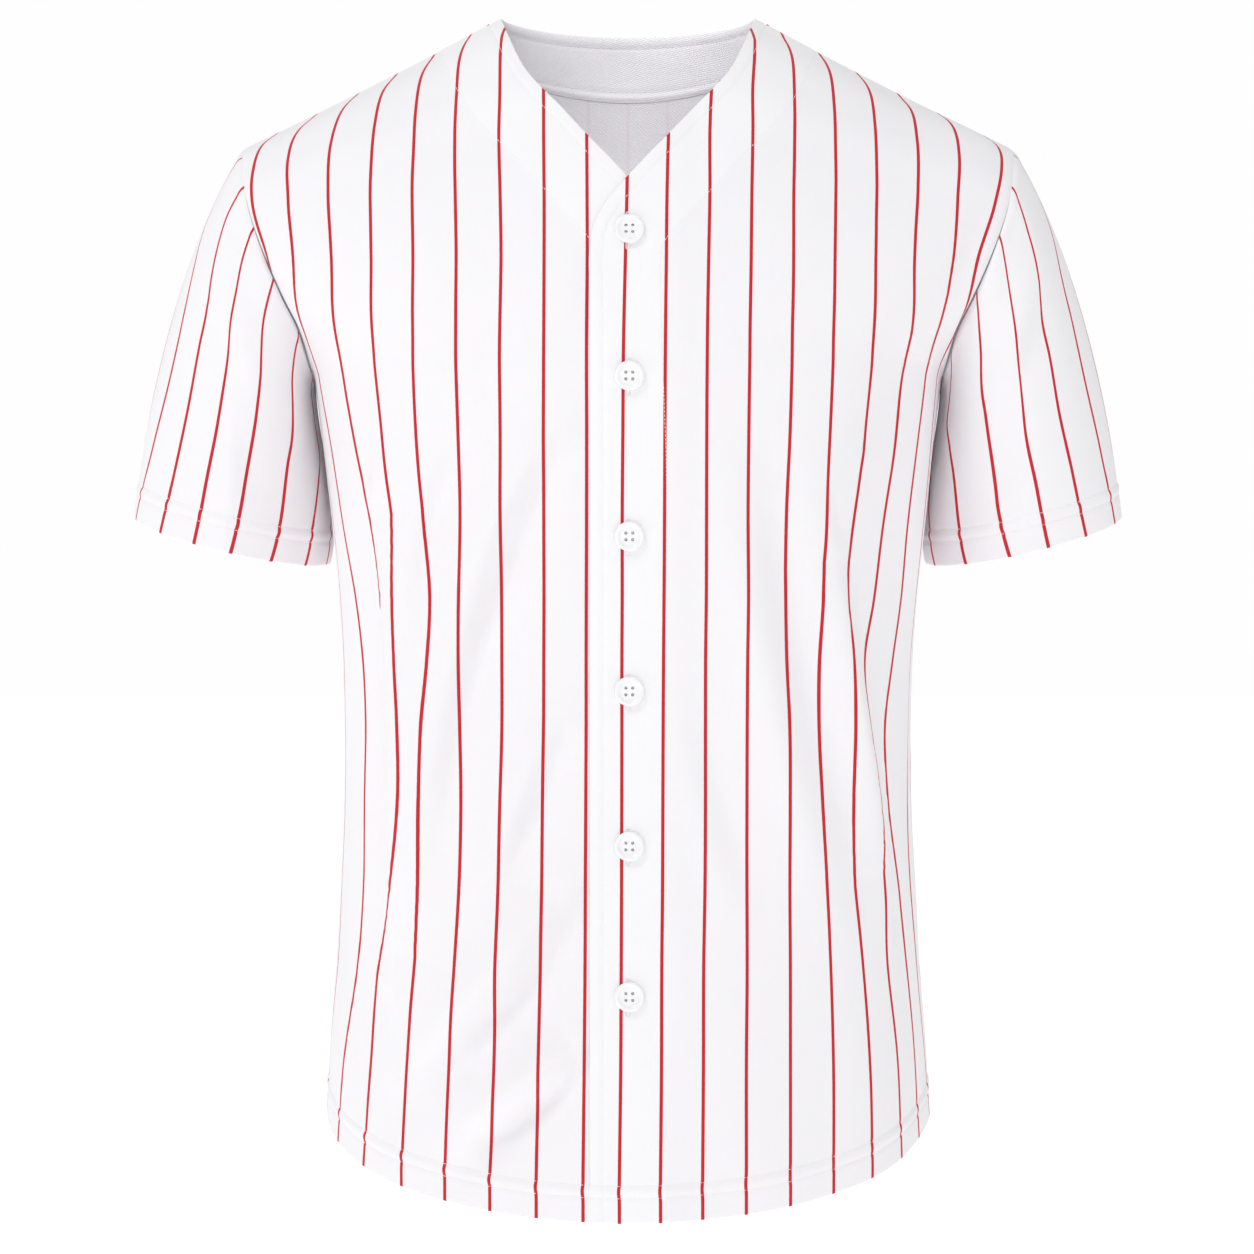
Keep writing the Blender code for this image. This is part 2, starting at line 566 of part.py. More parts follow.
def build_jersey():
    for old in list(bpy.data.objects):
        bpy.data.objects.remove(old, do_unlink=True)
    collection = bpy.data.collections.new("baseball_jersey")
    bpy.context.scene.collection.children.link(collection)
    panels = joined_panels()
    add_front("front_right", -1, panels["front"], collection)
    add_front("front_left", 1, panels["front"], collection)
    add_back_and_facing(panels["back"], collection)
    add_sleeve("sleeve_right", -1, panels["sleeve"], collection)
    add_sleeve("sleeve_left", 1, panels["sleeve"], collection)
    add_buttons(collection)


build_jersey()
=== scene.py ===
"""Looks of a baseball jersey in its worn shape, with no wearer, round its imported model."""

import math

import bmesh
import bpy
import numpy as np
from mathutils import Matrix, Vector
from mathutils.kdtree import KDTree


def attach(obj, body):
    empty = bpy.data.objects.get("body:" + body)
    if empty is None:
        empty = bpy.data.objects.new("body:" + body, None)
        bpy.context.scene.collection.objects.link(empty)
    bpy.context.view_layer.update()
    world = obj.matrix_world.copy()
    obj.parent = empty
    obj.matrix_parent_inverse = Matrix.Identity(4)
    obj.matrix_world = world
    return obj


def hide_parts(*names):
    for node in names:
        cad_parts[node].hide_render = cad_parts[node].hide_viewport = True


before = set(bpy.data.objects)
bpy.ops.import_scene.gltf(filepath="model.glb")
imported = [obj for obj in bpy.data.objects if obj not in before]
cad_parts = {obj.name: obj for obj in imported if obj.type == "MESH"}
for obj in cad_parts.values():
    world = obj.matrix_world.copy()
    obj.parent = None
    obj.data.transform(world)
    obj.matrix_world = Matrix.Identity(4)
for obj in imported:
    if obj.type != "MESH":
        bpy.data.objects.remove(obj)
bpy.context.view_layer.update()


# Floor, light and camera. The jersey stands as worn over a pale studio floor. Most of its light is white
# air from all sides. Soft lamps add some from the upper left, from above, from behind on the left and from
# the front. The view is level, from three metres in front.
class Wire:
    """An output socket in a material. Sums and products on it add Math nodes."""

    def __init__(self, tree, socket=None):
        self.tree = tree
        self.socket = socket

    def node(self, kind, settings=None, inputs=None, output=0):
        """Adds a node: its settings are set first, then the values or wires of its sockets."""
        made = self.tree.nodes.new(kind)
        for name, value in (settings or {}).items():
            setattr(made, name, value)
        for name, value in (inputs or {}).items():
            if isinstance(value, Wire):
                self.tree.links.new(value.socket, made.inputs[name])
            else:
                made.inputs[name].default_value = value
        return Wire(self.tree, made.outputs[output])

    def math(self, operation, *terms):
        return self.node("ShaderNodeMath", {"operation": operation}, dict(enumerate(terms)))

    def __add__(self, other):
        return self.math("ADD", self, other)

    def __radd__(self, other):
        return self.math("ADD", other, self)

    def __sub__(self, other):
        return self.math("SUBTRACT", self, other)

    def __rsub__(self, other):
        return self.math("SUBTRACT", other, self)

    def __mul__(self, other):
        return self.math("MULTIPLY", self, other)

    def __truediv__(self, other):
        return self.math("DIVIDE", self, other)

    def from_half(self):
        """How far this is from 0.5."""
        return self.math("ABSOLUTE", self - 0.5)

    def wave(self):
        """0 at whole numbers and 1 half way between them."""
        return self.math("SINE", self.math("FRACT", self) * math.pi)

    def step(self, start, end):
        """0 at start, 1 at end and an even S between them."""
        return self.node("ShaderNodeMapRange", {"interpolation_type": "SMOOTHSTEP"},
                         {"Value": self, "From Min": start, "From Max": end, "To Min": 0.0, "To Max": 1.0})

    def place(self):
        """Where a point lies on its own object."""
        return self.node("ShaderNodeTexCoord", output=3)

    def mark(self, name):
        """A mark kept on the points of a mesh."""
        return self.node("ShaderNodeAttribute", {"attribute_name": name}, output=2)

    def noise(self, scale, detail=2.0):
        return self.node("ShaderNodeTexNoise", {},
                         {"Vector": self.place(), "Scale": scale, "Detail": detail})

    def bumps(self, strength, distance):
        """Normals for a surface on which this is the height."""
        return self.node("ShaderNodeBump", {}, {"Strength": strength, "Distance": distance, "Height": self})

    def between(self, first, second):
        """First colour where this is 0, second where it is 1."""
        return self.node("ShaderNodeMix", {"data_type": "RGBA"}, {0: self, 6: first, 7: second}, 2)


def new_material(name, **constants):
    """An empty material, its Principled shader and a wire to start its nodes from."""
    material = bpy.data.materials.new(name)
    material.use_nodes = True
    shader = material.node_tree.nodes["Principled BSDF"]
    for socket, value in constants.items():
        shader.inputs[socket.replace("_", " ")].default_value = value
    return material, shader, Wire(material.node_tree)


def connect(shader, **wires):
    """Leads wires into a shader's sockets."""
    for socket, wire in wires.items():
        wire.tree.links.new(wire.socket, shader.inputs[socket.replace("_", " ")])


def new_object(name, data):
    """An object that shows a mesh, a lamp or a camera."""
    made = bpy.data.objects.new(name, data)
    bpy.context.scene.collection.objects.link(made)
    return made


def mesh_of(name, shape):
    """A mesh made of a finished bmesh, which is freed."""
    mesh = bpy.data.meshes.new(name)
    shape.to_mesh(mesh)
    shape.free()
    return mesh


FLOOR_DEPTH = 0.86
FLOOR_RADIUS = 30.0
floor_shape = bmesh.new()
bmesh.ops.create_circle(floor_shape, cap_ends=True, segments=96, radius=FLOOR_RADIUS,
                        matrix=Matrix.Translation((0, 0, -FLOOR_DEPTH)))
floor = new_object("studio_floor", mesh_of("studio_floor", floor_shape))
paint, shader, start = new_material("floor_paint", Roughness=0.9, Emission_Strength=0.50,
                                    Emission_Color=(1.0, 1.0, 1.0, 1.0))
connect(shader, Base_Color=start.noise(0.8).between((0.94, 0.94, 0.94, 1.0), (0.96, 0.96, 0.96, 1.0)))
floor.data.materials.append(paint)

AIR_LIGHT = 0.56         # how bright the air is as a light, and then as the camera sees it
AIR_SEEN = 0.992
world = bpy.data.worlds.new("studio_air")
world.use_nodes = True
background = world.node_tree.nodes["Background"]
background.inputs["Color"].default_value = (1.0, 1.0, 1.0, 1.0)
is_seen = Wire(world.node_tree).node("ShaderNodeLightPath")
connect(background, Strength=is_seen * (AIR_SEEN - AIR_LIGHT) + AIR_LIGHT)
bpy.context.scene.world = world


def add_lamp(name, place, size, power, aim):
    lamp = bpy.data.lights.new(name, "AREA")
    lamp.shape = "DISK"
    lamp.size = size
    lamp.energy = power
    holder = new_object(name, lamp)
    holder.location = place
    holder.rotation_euler = (Vector(aim) - Vector(place)).to_track_quat("-Z", "Y").to_euler()
    return holder


add_lamp("key_lamp", place=(-1.6, -1.8, 2.3), size=1.1, power=26.5, aim=(0.0, 0.0, -0.35))
add_lamp("fill_lamp", place=(0.2, -3.2, 0.0), size=2.4, power=2.5, aim=(0.0, 0.0, -0.35))
add_lamp("side_lamp", place=(-2.6, 1.0, 0.9), size=1.6, power=6.0, aim=(-0.25, 0.0, -0.20))
add_lamp("top_lamp", place=(0.8, -1.1, 2.4), size=1.0, power=10.0, aim=(0.15, 0.0, -0.10))
neck_lamp = add_lamp("neck_lamp", place=(-0.3, -2.6, 0.8), size=0.8, power=40.0, aim=(0.0, 0.05, -0.05))

camera = bpy.data.cameras.new("camera")
camera.sensor_width = 36.0
camera.sensor_fit = "HORIZONTAL"
camera.lens = 136.7
viewer = new_object("camera", camera)
viewer.location = (-0.0006, -3.0, -0.381)
viewer.rotation_euler = (math.radians(90), 0.0, 0.0)
bpy.context.scene.camera = viewer
bpy.context.scene.view_settings.view_transform = "Standard"


# The two fronts. Each is one piece of smooth white knitted polyester with red stripes knitted in, cut with
# half the V neck. A facing doubles it along the neck and the opening, and the hem is turned up once.
CLOTH = 0.0009           # one layer of cloth
HEM_DEPTH = 0.0215       # height of the turned-up hem, and of its upper row of stitches
HEM_LOWER_ROW = 0.0140
HEM_EXTRA = 0.0010       # what the second layer adds on the inside
EDGE_ROW = 0.0074        # first row of stitches beside the neck and the opening
FACING_DEPTH = 0.0425    # second row, at the facing's other edge
FACING_SPREAD = 0.0034   # how much wider the over front's facing is, in full below the first z
SPREAD_Z = (-0.300, -0.180)
UNDER_RELIEF = 0.6       # how much flatter the under front's edge is where the other lies on it
LAP_GAP = 0.0007         # air between the two fronts where one lies on the other
LAP_START = 0.026        # where, across, the over front starts to come down to its own level
LAP_END = 0.046
OVERLAP_HALF = 0.0226    # how far each front reaches past the centre line
NECK_HALF_WIDTH = 0.081
SECTION_SAMPLES = 400    # points on a section before the columns are read from it
# distance from the edge, height and half width of each ridge, or of each groove where the height is below 0
HEM_RIDGES = (
    (HEM_LOWER_ROW, -0.00045, 0.0011), ((HEM_LOWER_ROW + HEM_DEPTH) / 2, 0.00050, 0.0022),
    (HEM_DEPTH, -0.00050, 0.0012),
)
SEAM_RIDGES = ((0.0, -0.0009, 0.0017), (0.0050, 0.0003, 0.0028))
EDGE_RIDGES = ((0.0040, 0.00022, 0.0020), (EDGE_ROW, -0.00040, 0.0010))
FACING_RIDGES = ((FACING_DEPTH, -0.00022, 0.0014),)

# height, side x, side z, front y, front z, back y, back z, squareness
BODY_SECTIONS = (
    (0.00, 0.1890, -0.680, -0.118, -0.741, 0.112, -0.750, 2.25),
    (0.10, 0.1868, -0.637, -0.117, -0.688, 0.108, -0.697, 2.32),
    (0.22, 0.1828, -0.586, -0.115, -0.624, 0.101, -0.632, 2.40),
    (0.34, 0.1796, -0.530, -0.113, -0.560, 0.093, -0.566, 2.45),
    (0.49, 0.1777, -0.460, -0.111, -0.478, 0.086, -0.482, 2.50),
    (0.62, 0.1790, -0.400, -0.111, -0.409, 0.087, -0.411, 2.50),
    (0.75, 0.1833, -0.340, -0.114, -0.343, 0.094, -0.344, 2.50),
    (0.88, 0.1900, -0.280, -0.118, -0.280, 0.102, -0.280, 2.50),
    (1.00, 0.1970, -0.225, -0.120, -0.225, 0.106, -0.225, 2.50),
)
# height, centre y, centre z, armhole x, armhole y, armhole z, wrap in degrees, squareness, drop power
FRONT_SECTIONS = (
    (1.00, -0.120, -0.225, 0.1970, 0.000, -0.225, 90, 2.50, 1.30),
    (1.12, -0.119, -0.196, 0.1990, -0.022, -0.216, 82, 2.45, 1.30),
    (1.25, -0.117, -0.165, 0.2040, -0.044, -0.198, 75, 2.40, 1.30),
    (1.40, -0.112, -0.131, 0.2135, -0.056, -0.178, 70, 2.30, 1.28),
    (1.55, -0.104, -0.099, 0.2235, -0.060, -0.155, 65, 2.20, 1.22),
    (1.70, -0.090, -0.064, 0.2335, -0.055, -0.128, 58, 2.10, 1.16),
    (1.85, -0.068, -0.018, 0.2395, -0.042, -0.102, 50, 2.00, 1.10),
    (1.94, -0.038, 0.022, 0.2418, -0.022, -0.086, 44, 2.00, 0.98),
    (2.00, 0.000, 0.0560, 0.2425, 0.000, -0.080, 40, 2.00, 0.85),
)
BACK_SECTIONS = (
    (1.00, 0.106, -0.225, 0.1970, 0.000, -0.225, 90, 2.50, 1.30),
    (1.12, 0.107, -0.198, 0.1990, 0.022, -0.216, 82, 2.45, 1.30),
    (1.25, 0.108, -0.170, 0.2030, 0.042, -0.196, 75, 2.40, 1.30),
    (1.40, 0.107, -0.136, 0.2110, 0.052, -0.172, 70, 2.30, 1.30),
    (1.55, 0.104, -0.101, 0.2190, 0.055, -0.148, 65, 2.20, 1.30),
    (1.70, 0.098, -0.065, 0.2280, 0.052, -0.123, 58, 2.10, 1.30),
    (1.85, 0.088, -0.030, 0.2360, 0.042, -0.101, 50, 2.00, 1.30),
    (1.94, 0.080, -0.011, 0.2410, 0.022, -0.086, 44, 2.00, 1.30),
    (2.00, 0.075, 0.000, 0.2425, 0.000, -0.080, 40, 2.00, 1.30),
)
HEM_RISE = 0.88          # power with which the hem rises towards the side seam
NECK_EASE = 1.8          # power with which the back bends to the neck
NECK_TURN = 0.31         # share of the back's half top line that is the neck
BACK_NECK_DEPTH = 0.075
BACK_NECK_DROP = 0.002
# height up the front, x of the free edge
FRONT_EDGE = (
    (0.00, -OVERLAP_HALF), (1.20, -OVERLAP_HALF), (1.32, -OVERLAP_HALF), (1.39, -0.0195), (1.45, -0.0115),
    (1.51, 0.0000), (1.62, 0.0195), (1.74, 0.0415), (1.86, 0.0650), (1.94, 0.0752), (2.00, NECK_HALF_WIDTH),
)
# across and z at the start, the middle and the end, half width towards the centre and away from it, height,
# and the side on which a crease stands up: 1 away from the centre, -1 towards it, 0 for a round fold.
# Across is below 0 on the right front.
FRONT_FOLDS = (
    (-0.036, -0.262, -0.0850, -0.352, -0.1240, -0.526, 0.014, 0.016, 0.0072, 1),
    (-0.037, -0.436, -0.0605, -0.486, -0.0810, -0.548, 0.013, 0.014, 0.0054, 1),
    (-0.035, -0.545, -0.0765, -0.602, -0.1380, -0.662, 0.018, 0.020, 0.0088, 1),
    (-0.027, -0.640, -0.0640, -0.670, -0.1020, -0.700, 0.015, 0.017, 0.0088, 1),
    (0.0073, -0.116, -0.0135, -0.165, -0.0158, -0.256, 0.0028, 0.0028, -0.0018, 0),
    (0.0010, -0.110, -0.0200, -0.165, -0.0220, -0.250, 0.0038, 0.0038, 0.0014, 0),
    (-0.109, -0.268, -0.1260, -0.316, -0.1320, -0.376, 0.011, 0.011, 0.0032, 1),
    (-0.160, -0.300, -0.1450, -0.440, -0.1500, -0.600, 0.032, 0.009, 0.0120, 0),
    (0.0775, -0.290, 0.0995, -0.414, 0.1410, -0.548, 0.022, 0.019, 0.0074, -1),
    (0.0375, -0.427, 0.0525, -0.494, 0.0710, -0.548, 0.013, 0.013, 0.0022, -1),
    (0.128, -0.335, 0.1410, -0.425, 0.1720, -0.545, 0.030, 0.009, 0.0115, 0),
    (0.196, -0.205, 0.1720, -0.240, 0.1500, -0.280, 0.020, 0.016, -0.0040, 0),
    (0.236, -0.120, 0.2260, -0.150, 0.2120, -0.182, 0.012, 0.010, -0.0022, 0),
)
STRIPE_PITCH = 0.0254
# z, then how far across in millimetres stripes 1 to 9 run on the right front
RIGHT_STRIPES = (
    (-0.713, 27.2, 55.8, 84.9, 114.5, 144.9, 178.0, 195.0, 212.0, 248.0),
    (-0.653, 26.6, 54.7, 82.1, 111.6, 140.9, 171.0, 186.0, 201.9, 243.0),
    (-0.589, 26.1, 53.5, 81.0, 107.2, 133.7, 163.5, 174.0, 184.8, 224.0),
    (-0.540, 25.9, 52.5, 79.4, 103.9, 129.4, 147.9, 162.0, 178.8, 227.0),
    (-0.488, 25.6, 52.1, 78.3, 102.6, 127.5, 139.4, 157.0, 177.9, 222.0),
    (-0.439, 25.4, 51.3, 77.0, 103.3, 125.5, 139.5, 156.5, 175.7, 217.6),
    (-0.402, 25.4, 51.2, 77.0, 103.9, 122.4, 142.3, 156.0, 178.0, 214.5),
    (-0.364, 25.3, 51.0, 77.2, 103.7, 121.2, 145.1, 154.5, 184.6, 218.0),
    (-0.315, 25.1, 51.1, 77.8, 103.0, 126.5, 147.8, 166.7, 199.5, 228.0),
    (-0.265, 25.0, 51.2, 77.9, 104.2, 131.2, 155.6, 180.6, 210.2, 238.0),
    (-0.209, 25.1, 51.1, 78.4, 105.7, 133.3, 162.0, 190.3, 222.6, 245.0),
    (-0.154, 24.8, 51.3, 78.1, 106.5, 134.3, 162.3, 189.5, 216.7, 236.5),
    (-0.117, 25.1, 51.7, 79.4, 108.2, 136.0, 163.5, 191.9, 219.8, 245.5),
    (-0.078, 25.6, 52.6, 81.2, 110.1, 137.0, 164.9, 194.9, 225.8, 251.0),
    (-0.054, 26.0, 53.3, 81.7, 111.2, 138.9, 166.6, 195.0, 224.0, 251.0),
    (-0.013, 27.0, 56.0, 86.0, 115.9, 143.0, 170.5, 198.0, 226.0, 253.0),
)
# z, then how far across in millimetres stripes 0 to 9 run on the left front
LEFT_STRIPES = (
    (-0.714, -5.2, 19.6, 45.5, 72.2, 100.3, 130.1, 159.2, 189.4, 217.3, 245.0),
    (-0.650, -4.4, 20.2, 45.8, 72.1, 100.3, 129.5, 156.4, 183.4, 209.0, 236.0),
    (-0.589, -4.1, 20.4, 45.9, 72.7, 100.1, 127.3, 151.4, 173.1, 195.5, 214.6),
    (-0.538, -3.9, 20.9, 46.8, 72.6, 99.6, 124.1, 144.0, 168.4, 186.3, 204.5),
    (-0.489, -3.8, 21.1, 47.1, 72.6, 99.6, 120.1, 139.4, 162.5, 174.2, 204.1),
    (-0.439, -3.7, 21.3, 47.1, 72.7, 99.1, 116.6, 137.9, 152.0, 169.7, 212.0),
    (-0.402, -3.7, 21.5, 47.1, 72.9, 97.2, 116.1, 136.9, 150.7, 177.0, 211.6),
    (-0.364, -3.5, 21.8, 47.5, 73.4, 96.4, 118.6, 136.0, 159.4, 186.1, 215.0),
    (-0.315, -3.5, 22.1, 47.6, 73.1, 96.8, 122.4, 142.5, 167.3, 191.4, 219.0),
    (-0.265, -3.1, 22.3, 47.7, 73.5, 99.1, 124.9, 151.0, 176.1, 198.0, 224.0),
    (-0.209, -2.7, 22.6, 48.1, 74.3, 100.7, 127.1, 154.2, 183.1, 206.8, 228.6),
    (-0.155, -1.5, 23.3, 49.4, 75.8, 102.5, 129.2, 156.1, 182.3, 210.6, 228.5),
    (-0.117, -0.6, 23.8, 50.6, 76.9, 103.5, 130.8, 157.8, 185.2, 212.4, 239.6),
    (-0.075, 0.0, 25.2, 51.3, 78.6, 105.9, 132.9, 160.7, 190.6, 220.4, 255.0),
    (-0.050, 0.3, 26.5, 53.0, 79.7, 108.1, 135.5, 164.0, 195.0, 224.0, 254.0),
    (-0.016, 0.5, 29.0, 57.5, 85.9, 113.5, 141.0, 169.0, 198.0, 226.0, 254.0),
)
# below this z the right front's seventh stripe lies hidden in the fold at the side
HIDDEN_STRIPE, HIDDEN_BELOW = 7, -0.370


def curve_weights(t):
    """Weights of a smooth curve's start, its slope there, its end and its slope there."""
    return 2 * t**3 - 3 * t**2 + 1, t**3 - 2 * t**2 + t, 3 * t**2 - 2 * t**3, t**3 - t**2


def smooth(table, column, at):
    """One column of a table read at the places 'at', on a smooth curve through its rows."""
    keys, values = np.array([(row[0], row[column]) for row in table]).T
    slopes = np.gradient(values, keys)
    at = np.clip(at, keys[0], keys[-1])
    low = np.clip(np.searchsorted(keys, at, side="right") - 1, 0, len(keys) - 2)
    span = keys[low + 1] - keys[low]
    start, leave, end, meet = curve_weights((at - keys[low]) / span)
    return (start * values[low] + leave * span * slopes[low]
            + end * values[low + 1] + meet * span * slopes[low + 1])


def step_up(value, start, end):
    """0 at start, 1 at end and an even S between them."""
    t = np.clip((value - start) / (end - start), 0.0, 1.0)
    return t * t * (3 - 2 * t)


def bump(value, middle, half_width):
    """1 in the middle, falling off like a bell."""
    return np.exp(-((value - middle) / half_width) ** 2)


def ridges(table, distance):
    """Height of a table's ridges and grooves at each distance from the edge."""
    return sum(height * bump(distance, middle, half_width) for middle, height, half_width in table)


def unit(vectors):
    return vectors / np.maximum(np.linalg.norm(vectors, axis=-1, keepdims=True), 1e-9)


def lengths_along(points):
    """Distance of each point from the first one, measured along the line."""
    steps = np.linalg.norm(np.diff(points, axis=0), axis=-1)
    return np.concatenate([np.zeros_like(steps[:1]), np.cumsum(steps, axis=0)])


def along_line(wanted, places, line):
    """Points of a line, read where its places pass the wanted ones."""
    return np.stack([np.interp(wanted, places, line[:, axis]) for axis in range(3)], axis=-1)


def rounded_quarter(turn, wrap, squareness):
    """Share of the width and of the depth on a rounded quarter section that ends at its wrap angle."""
    def on_curve(angle):
        reach = (np.sin(angle) ** squareness + np.cos(angle) ** squareness) ** (-1 / squareness)
        return reach * np.sin(angle), 1 - reach * np.cos(angle)
    width, depth = on_curve(turn * wrap)
    full_width, full_depth = on_curve(wrap)
    return width / full_width, depth / full_depth


def shoulder_height(x):
    _, _, centre_z, tip_x, _, tip_z, _, _, power = FRONT_SECTIONS[-1]
    return centre_z + (tip_z - centre_z) * (x / tip_x) ** power


def plain_sections(side, heights, turn):
    """Half sections of the front or the back, from the centre (turn 0) out to the seam (turn 1)."""
    chest = FRONT_SECTIONS if side == "front" else BACK_SECTIONS
    y_column = 3 if side == "front" else 5
    h = heights[:, None]
    is_body = h <= 1.0

    def read(body_column, chest_column):
        return np.where(is_body, smooth(BODY_SECTIONS, body_column, np.minimum(h, 1.0)),
                        smooth(chest, chest_column, np.maximum(h, 1.0)))

    centre_y, centre_z = read(y_column, 1), read(y_column + 1, 2)
    seam_x, seam_z = read(1, 3), read(2, 5)
    seam_y = np.where(is_body, 0.0, smooth(chest, 4, np.maximum(h, 1.0)))
    wrap = np.radians(np.where(is_body, 90.0, smooth(chest, 6, np.maximum(h, 1.0))))
    width, depth = rounded_quarter(turn[None, :], wrap, read(7, 7))
    drop = np.where(is_body, depth ** HEM_RISE, width ** smooth(chest, 8, np.maximum(h, 1.0)))
    return np.stack([seam_x * width, centre_y + (seam_y - centre_y) * depth,
                     centre_z + (seam_z - centre_z) * drop], axis=-1)


def back_top_line(turn):
    """The back's top edge: half of the round neck, then the shoulder seam out to its tip."""
    around = np.clip(turn / NECK_TURN, 0, 1) * math.pi / 2
    along = np.clip((turn - NECK_TURN) / (1 - NECK_TURN), 0, 1)
    tip_x = BACK_SECTIONS[-1][3]
    x = NECK_HALF_WIDTH * np.sin(around) + (tip_x - NECK_HALF_WIDTH) * along
    z = shoulder_height(np.maximum(x, NECK_HALF_WIDTH)) - BACK_NECK_DROP * np.cos(around) ** 2
    return np.stack([x, BACK_NECK_DEPTH * np.cos(around), z], axis=-1)


def half_sections(side, heights, turn):
    """Half sections with the back's top bent round the neck."""
    points = plain_sections(side, heights, turn)
    if side == "back":
        bend = back_top_line(turn) - plain_sections("back", np.array([2.0]), turn)[0]
        points = points + (np.clip(heights - 1.5, 0, None) / 0.5)[:, None, None] ** NECK_EASE * bend
    return points


def section_points(side, heights, starts, shares):
    """Points at the given shares of each section's length, with their distance from the centre line."""
    turn = np.linspace(0.0, 1.0, SECTION_SAMPLES)
    grid, across = [], []
    for half, start in zip(half_sections(side, heights, turn), starts):
        length = lengths_along(half)
        first = math.copysign(np.interp(abs(start), half[:, 0], length), start)
        wanted = first + (length[-1] - first) * shares
        points = along_line(abs(wanted), length, half)
        points[:, 0] *= np.where(wanted < 0, -1, 1)
        grid.append(points)
        across.append(wanted)
    return np.array(grid), np.array(across)


BODY_MIDDLE = (0.0, 0.0, -0.3)
SLEEVE_MIDDLE = (0.235, 0.0, -0.24)


def grid_normals(grid, middle=BODY_MIDDLE):
    """Unit normals at a grid's points, pointing away from the garment's middle."""
    normals = unit(np.cross(np.gradient(grid, axis=1), np.gradient(grid, axis=0)))
    return normals * np.sign((normals * (grid - np.array(middle))).sum())


CREASE_SCALE = 2.33      # makes a crease's highest point its height
FOLD_STEPS = 61          # points on a fold's line
WIDTH_BLEND = 0.004      # how far from a fold's line one half width passes into the other


def fold_heights(folds, across, z):
    """How far the folds lift or sink the cloth at each point of a panel. Each point is measured from the
    nearest of many points on the curve through a fold's start, middle and end."""
    lift = np.zeros_like(z)
    for *curve, width_in, width_out, height, upright in folds:
        first, middle, last = np.array(curve).reshape(3, 2)
        nearest, place, beyond = np.full(z.shape, np.inf), np.zeros_like(z), np.zeros_like(z)
        for t in np.linspace(0.0, 1.0, FOLD_STEPS):
            at = first * ((1 - t) * (1 - 2 * t)) + middle * (4 * t * (1 - t)) + last * (t * (2 * t - 1))
            along = unit(first * (4 * t - 3) + 4 * middle * (1 - 2 * t) + last * (4 * t - 1))
            off, rise = across - at[0], z - at[1]
            distance = np.hypot(off, rise)
            closer = distance < nearest
            place = np.where(closer, t, place)
            beyond = np.where(closer, (along[0] * rise - along[1] * off) * np.sign(middle[0]), beyond)
            nearest = np.minimum(nearest, distance)
        width = width_in + (width_out - width_in) * step_up(beyond, -WIDTH_BLEND, WIDTH_BLEND)
        fade = np.sin(math.pi * np.clip(place, 0.05, 0.95)) ** 0.7
        slope = CREASE_SCALE * upright * beyond / width if upright else 1.0
        lift += height * fade * slope * bump(nearest, 0.0, width)
    return lift


def row_heights():
    """Heights of the rows: 0 at the hem, 1 at the underarm and 2 at the shoulder seam, and close together
    at both ends."""
    hem = np.arange(0.0, 0.060, 0.0024)
    body = np.linspace(0.060, 1.0, 141)[:-1]
    chest = np.linspace(1.0, 1.985, 96)
    return np.concatenate([hem, body, chest, [1.990, 1.9945, 1.998, 2.0]])


def spread(inner, outer, count):
    """Shares from 0 to 1 with the given ones close to each end and even steps between."""
    ends = 1.0 - np.array(outer)[::-1]
    return np.concatenate([inner, np.linspace(inner[-1], ends[0], count)[1:-1], ends])


WAVE_COUNT = 9
WAVE_HEIGHT = 0.00022


def small_waves(across, z, seed):
    """The slight unevenness of hanging cloth."""
    rng = np.random.default_rng(seed)
    total = np.zeros_like(z)
    for _ in range(WAVE_COUNT):
        per_metre_across, per_metre_up = rng.uniform(4, 13), rng.uniform(-5, 5)
        phase = rng.uniform(0, 2 * math.pi)
        total += np.sin(2 * math.pi * (per_metre_across * across + per_metre_up * z) + phase)
    return WAVE_HEIGHT * total


HEM_STEP = 0.00035       # how far a hem's second layer shows on the outside
FACING_STEP = 0.00030
PUCKER_HEIGHT = 0.00016
PUCKER_SPACING = 0.0046
PUCKER_REACH = 0.006


def hem_relief(from_hem, across):
    """Turned-up hem: a ridge between two rows of stitches, with puckers above the upper one."""
    pucker = np.sin(2 * math.pi * across / PUCKER_SPACING + 3 * np.sin(across * 90))
    above = step_up(from_hem, HEM_DEPTH, HEM_DEPTH + 0.0015) * np.exp(-(from_hem - HEM_DEPTH) / PUCKER_REACH)
    return (ridges(HEM_RIDGES, from_hem) + PUCKER_HEIGHT * pucker * np.clip(above, 0, 1)
            + HEM_STEP * (1 - step_up(from_hem, HEM_DEPTH - 0.001, HEM_DEPTH + 0.002)))


def edge_relief(from_edge, facing_place):
    """Facing turned to the inside: a rolled edge, two stitched rows and one more layer between them."""
    return (ridges(EDGE_RIDGES, from_edge) + ridges(FACING_RIDGES, facing_place)
            + FACING_STEP * (1 - step_up(facing_place, FACING_DEPTH - 0.0015, FACING_DEPTH + 0.0025)))


def wall_faces(hung, relief, from_hem, middle=BODY_MIDDLE):
    """Outer face, inner face and normals of a panel of one layer, and of two in the turned-up hem."""
    normals = grid_normals(hung, middle)
    thickness = CLOTH + HEM_EXTRA * (1 - step_up(from_hem, HEM_DEPTH - 0.001, HEM_DEPTH + 0.001))
    return hung + normals * relief[..., None], hung - normals * thickness[..., None], normals


def hem_shift(from_hem):
    """How far the stripes run aside in the hem, where its two layers aren't sewn quite even."""
    return 0.0005 * bump(from_hem, (HEM_LOWER_ROW + HEM_DEPTH) / 2, 0.0035)


def doubled(facing_place):
    """1 where a facing doubles the cloth, 0 beyond it."""
    return 1 - step_up(facing_place, FACING_DEPTH - 0.001, FACING_DEPTH + 0.002)


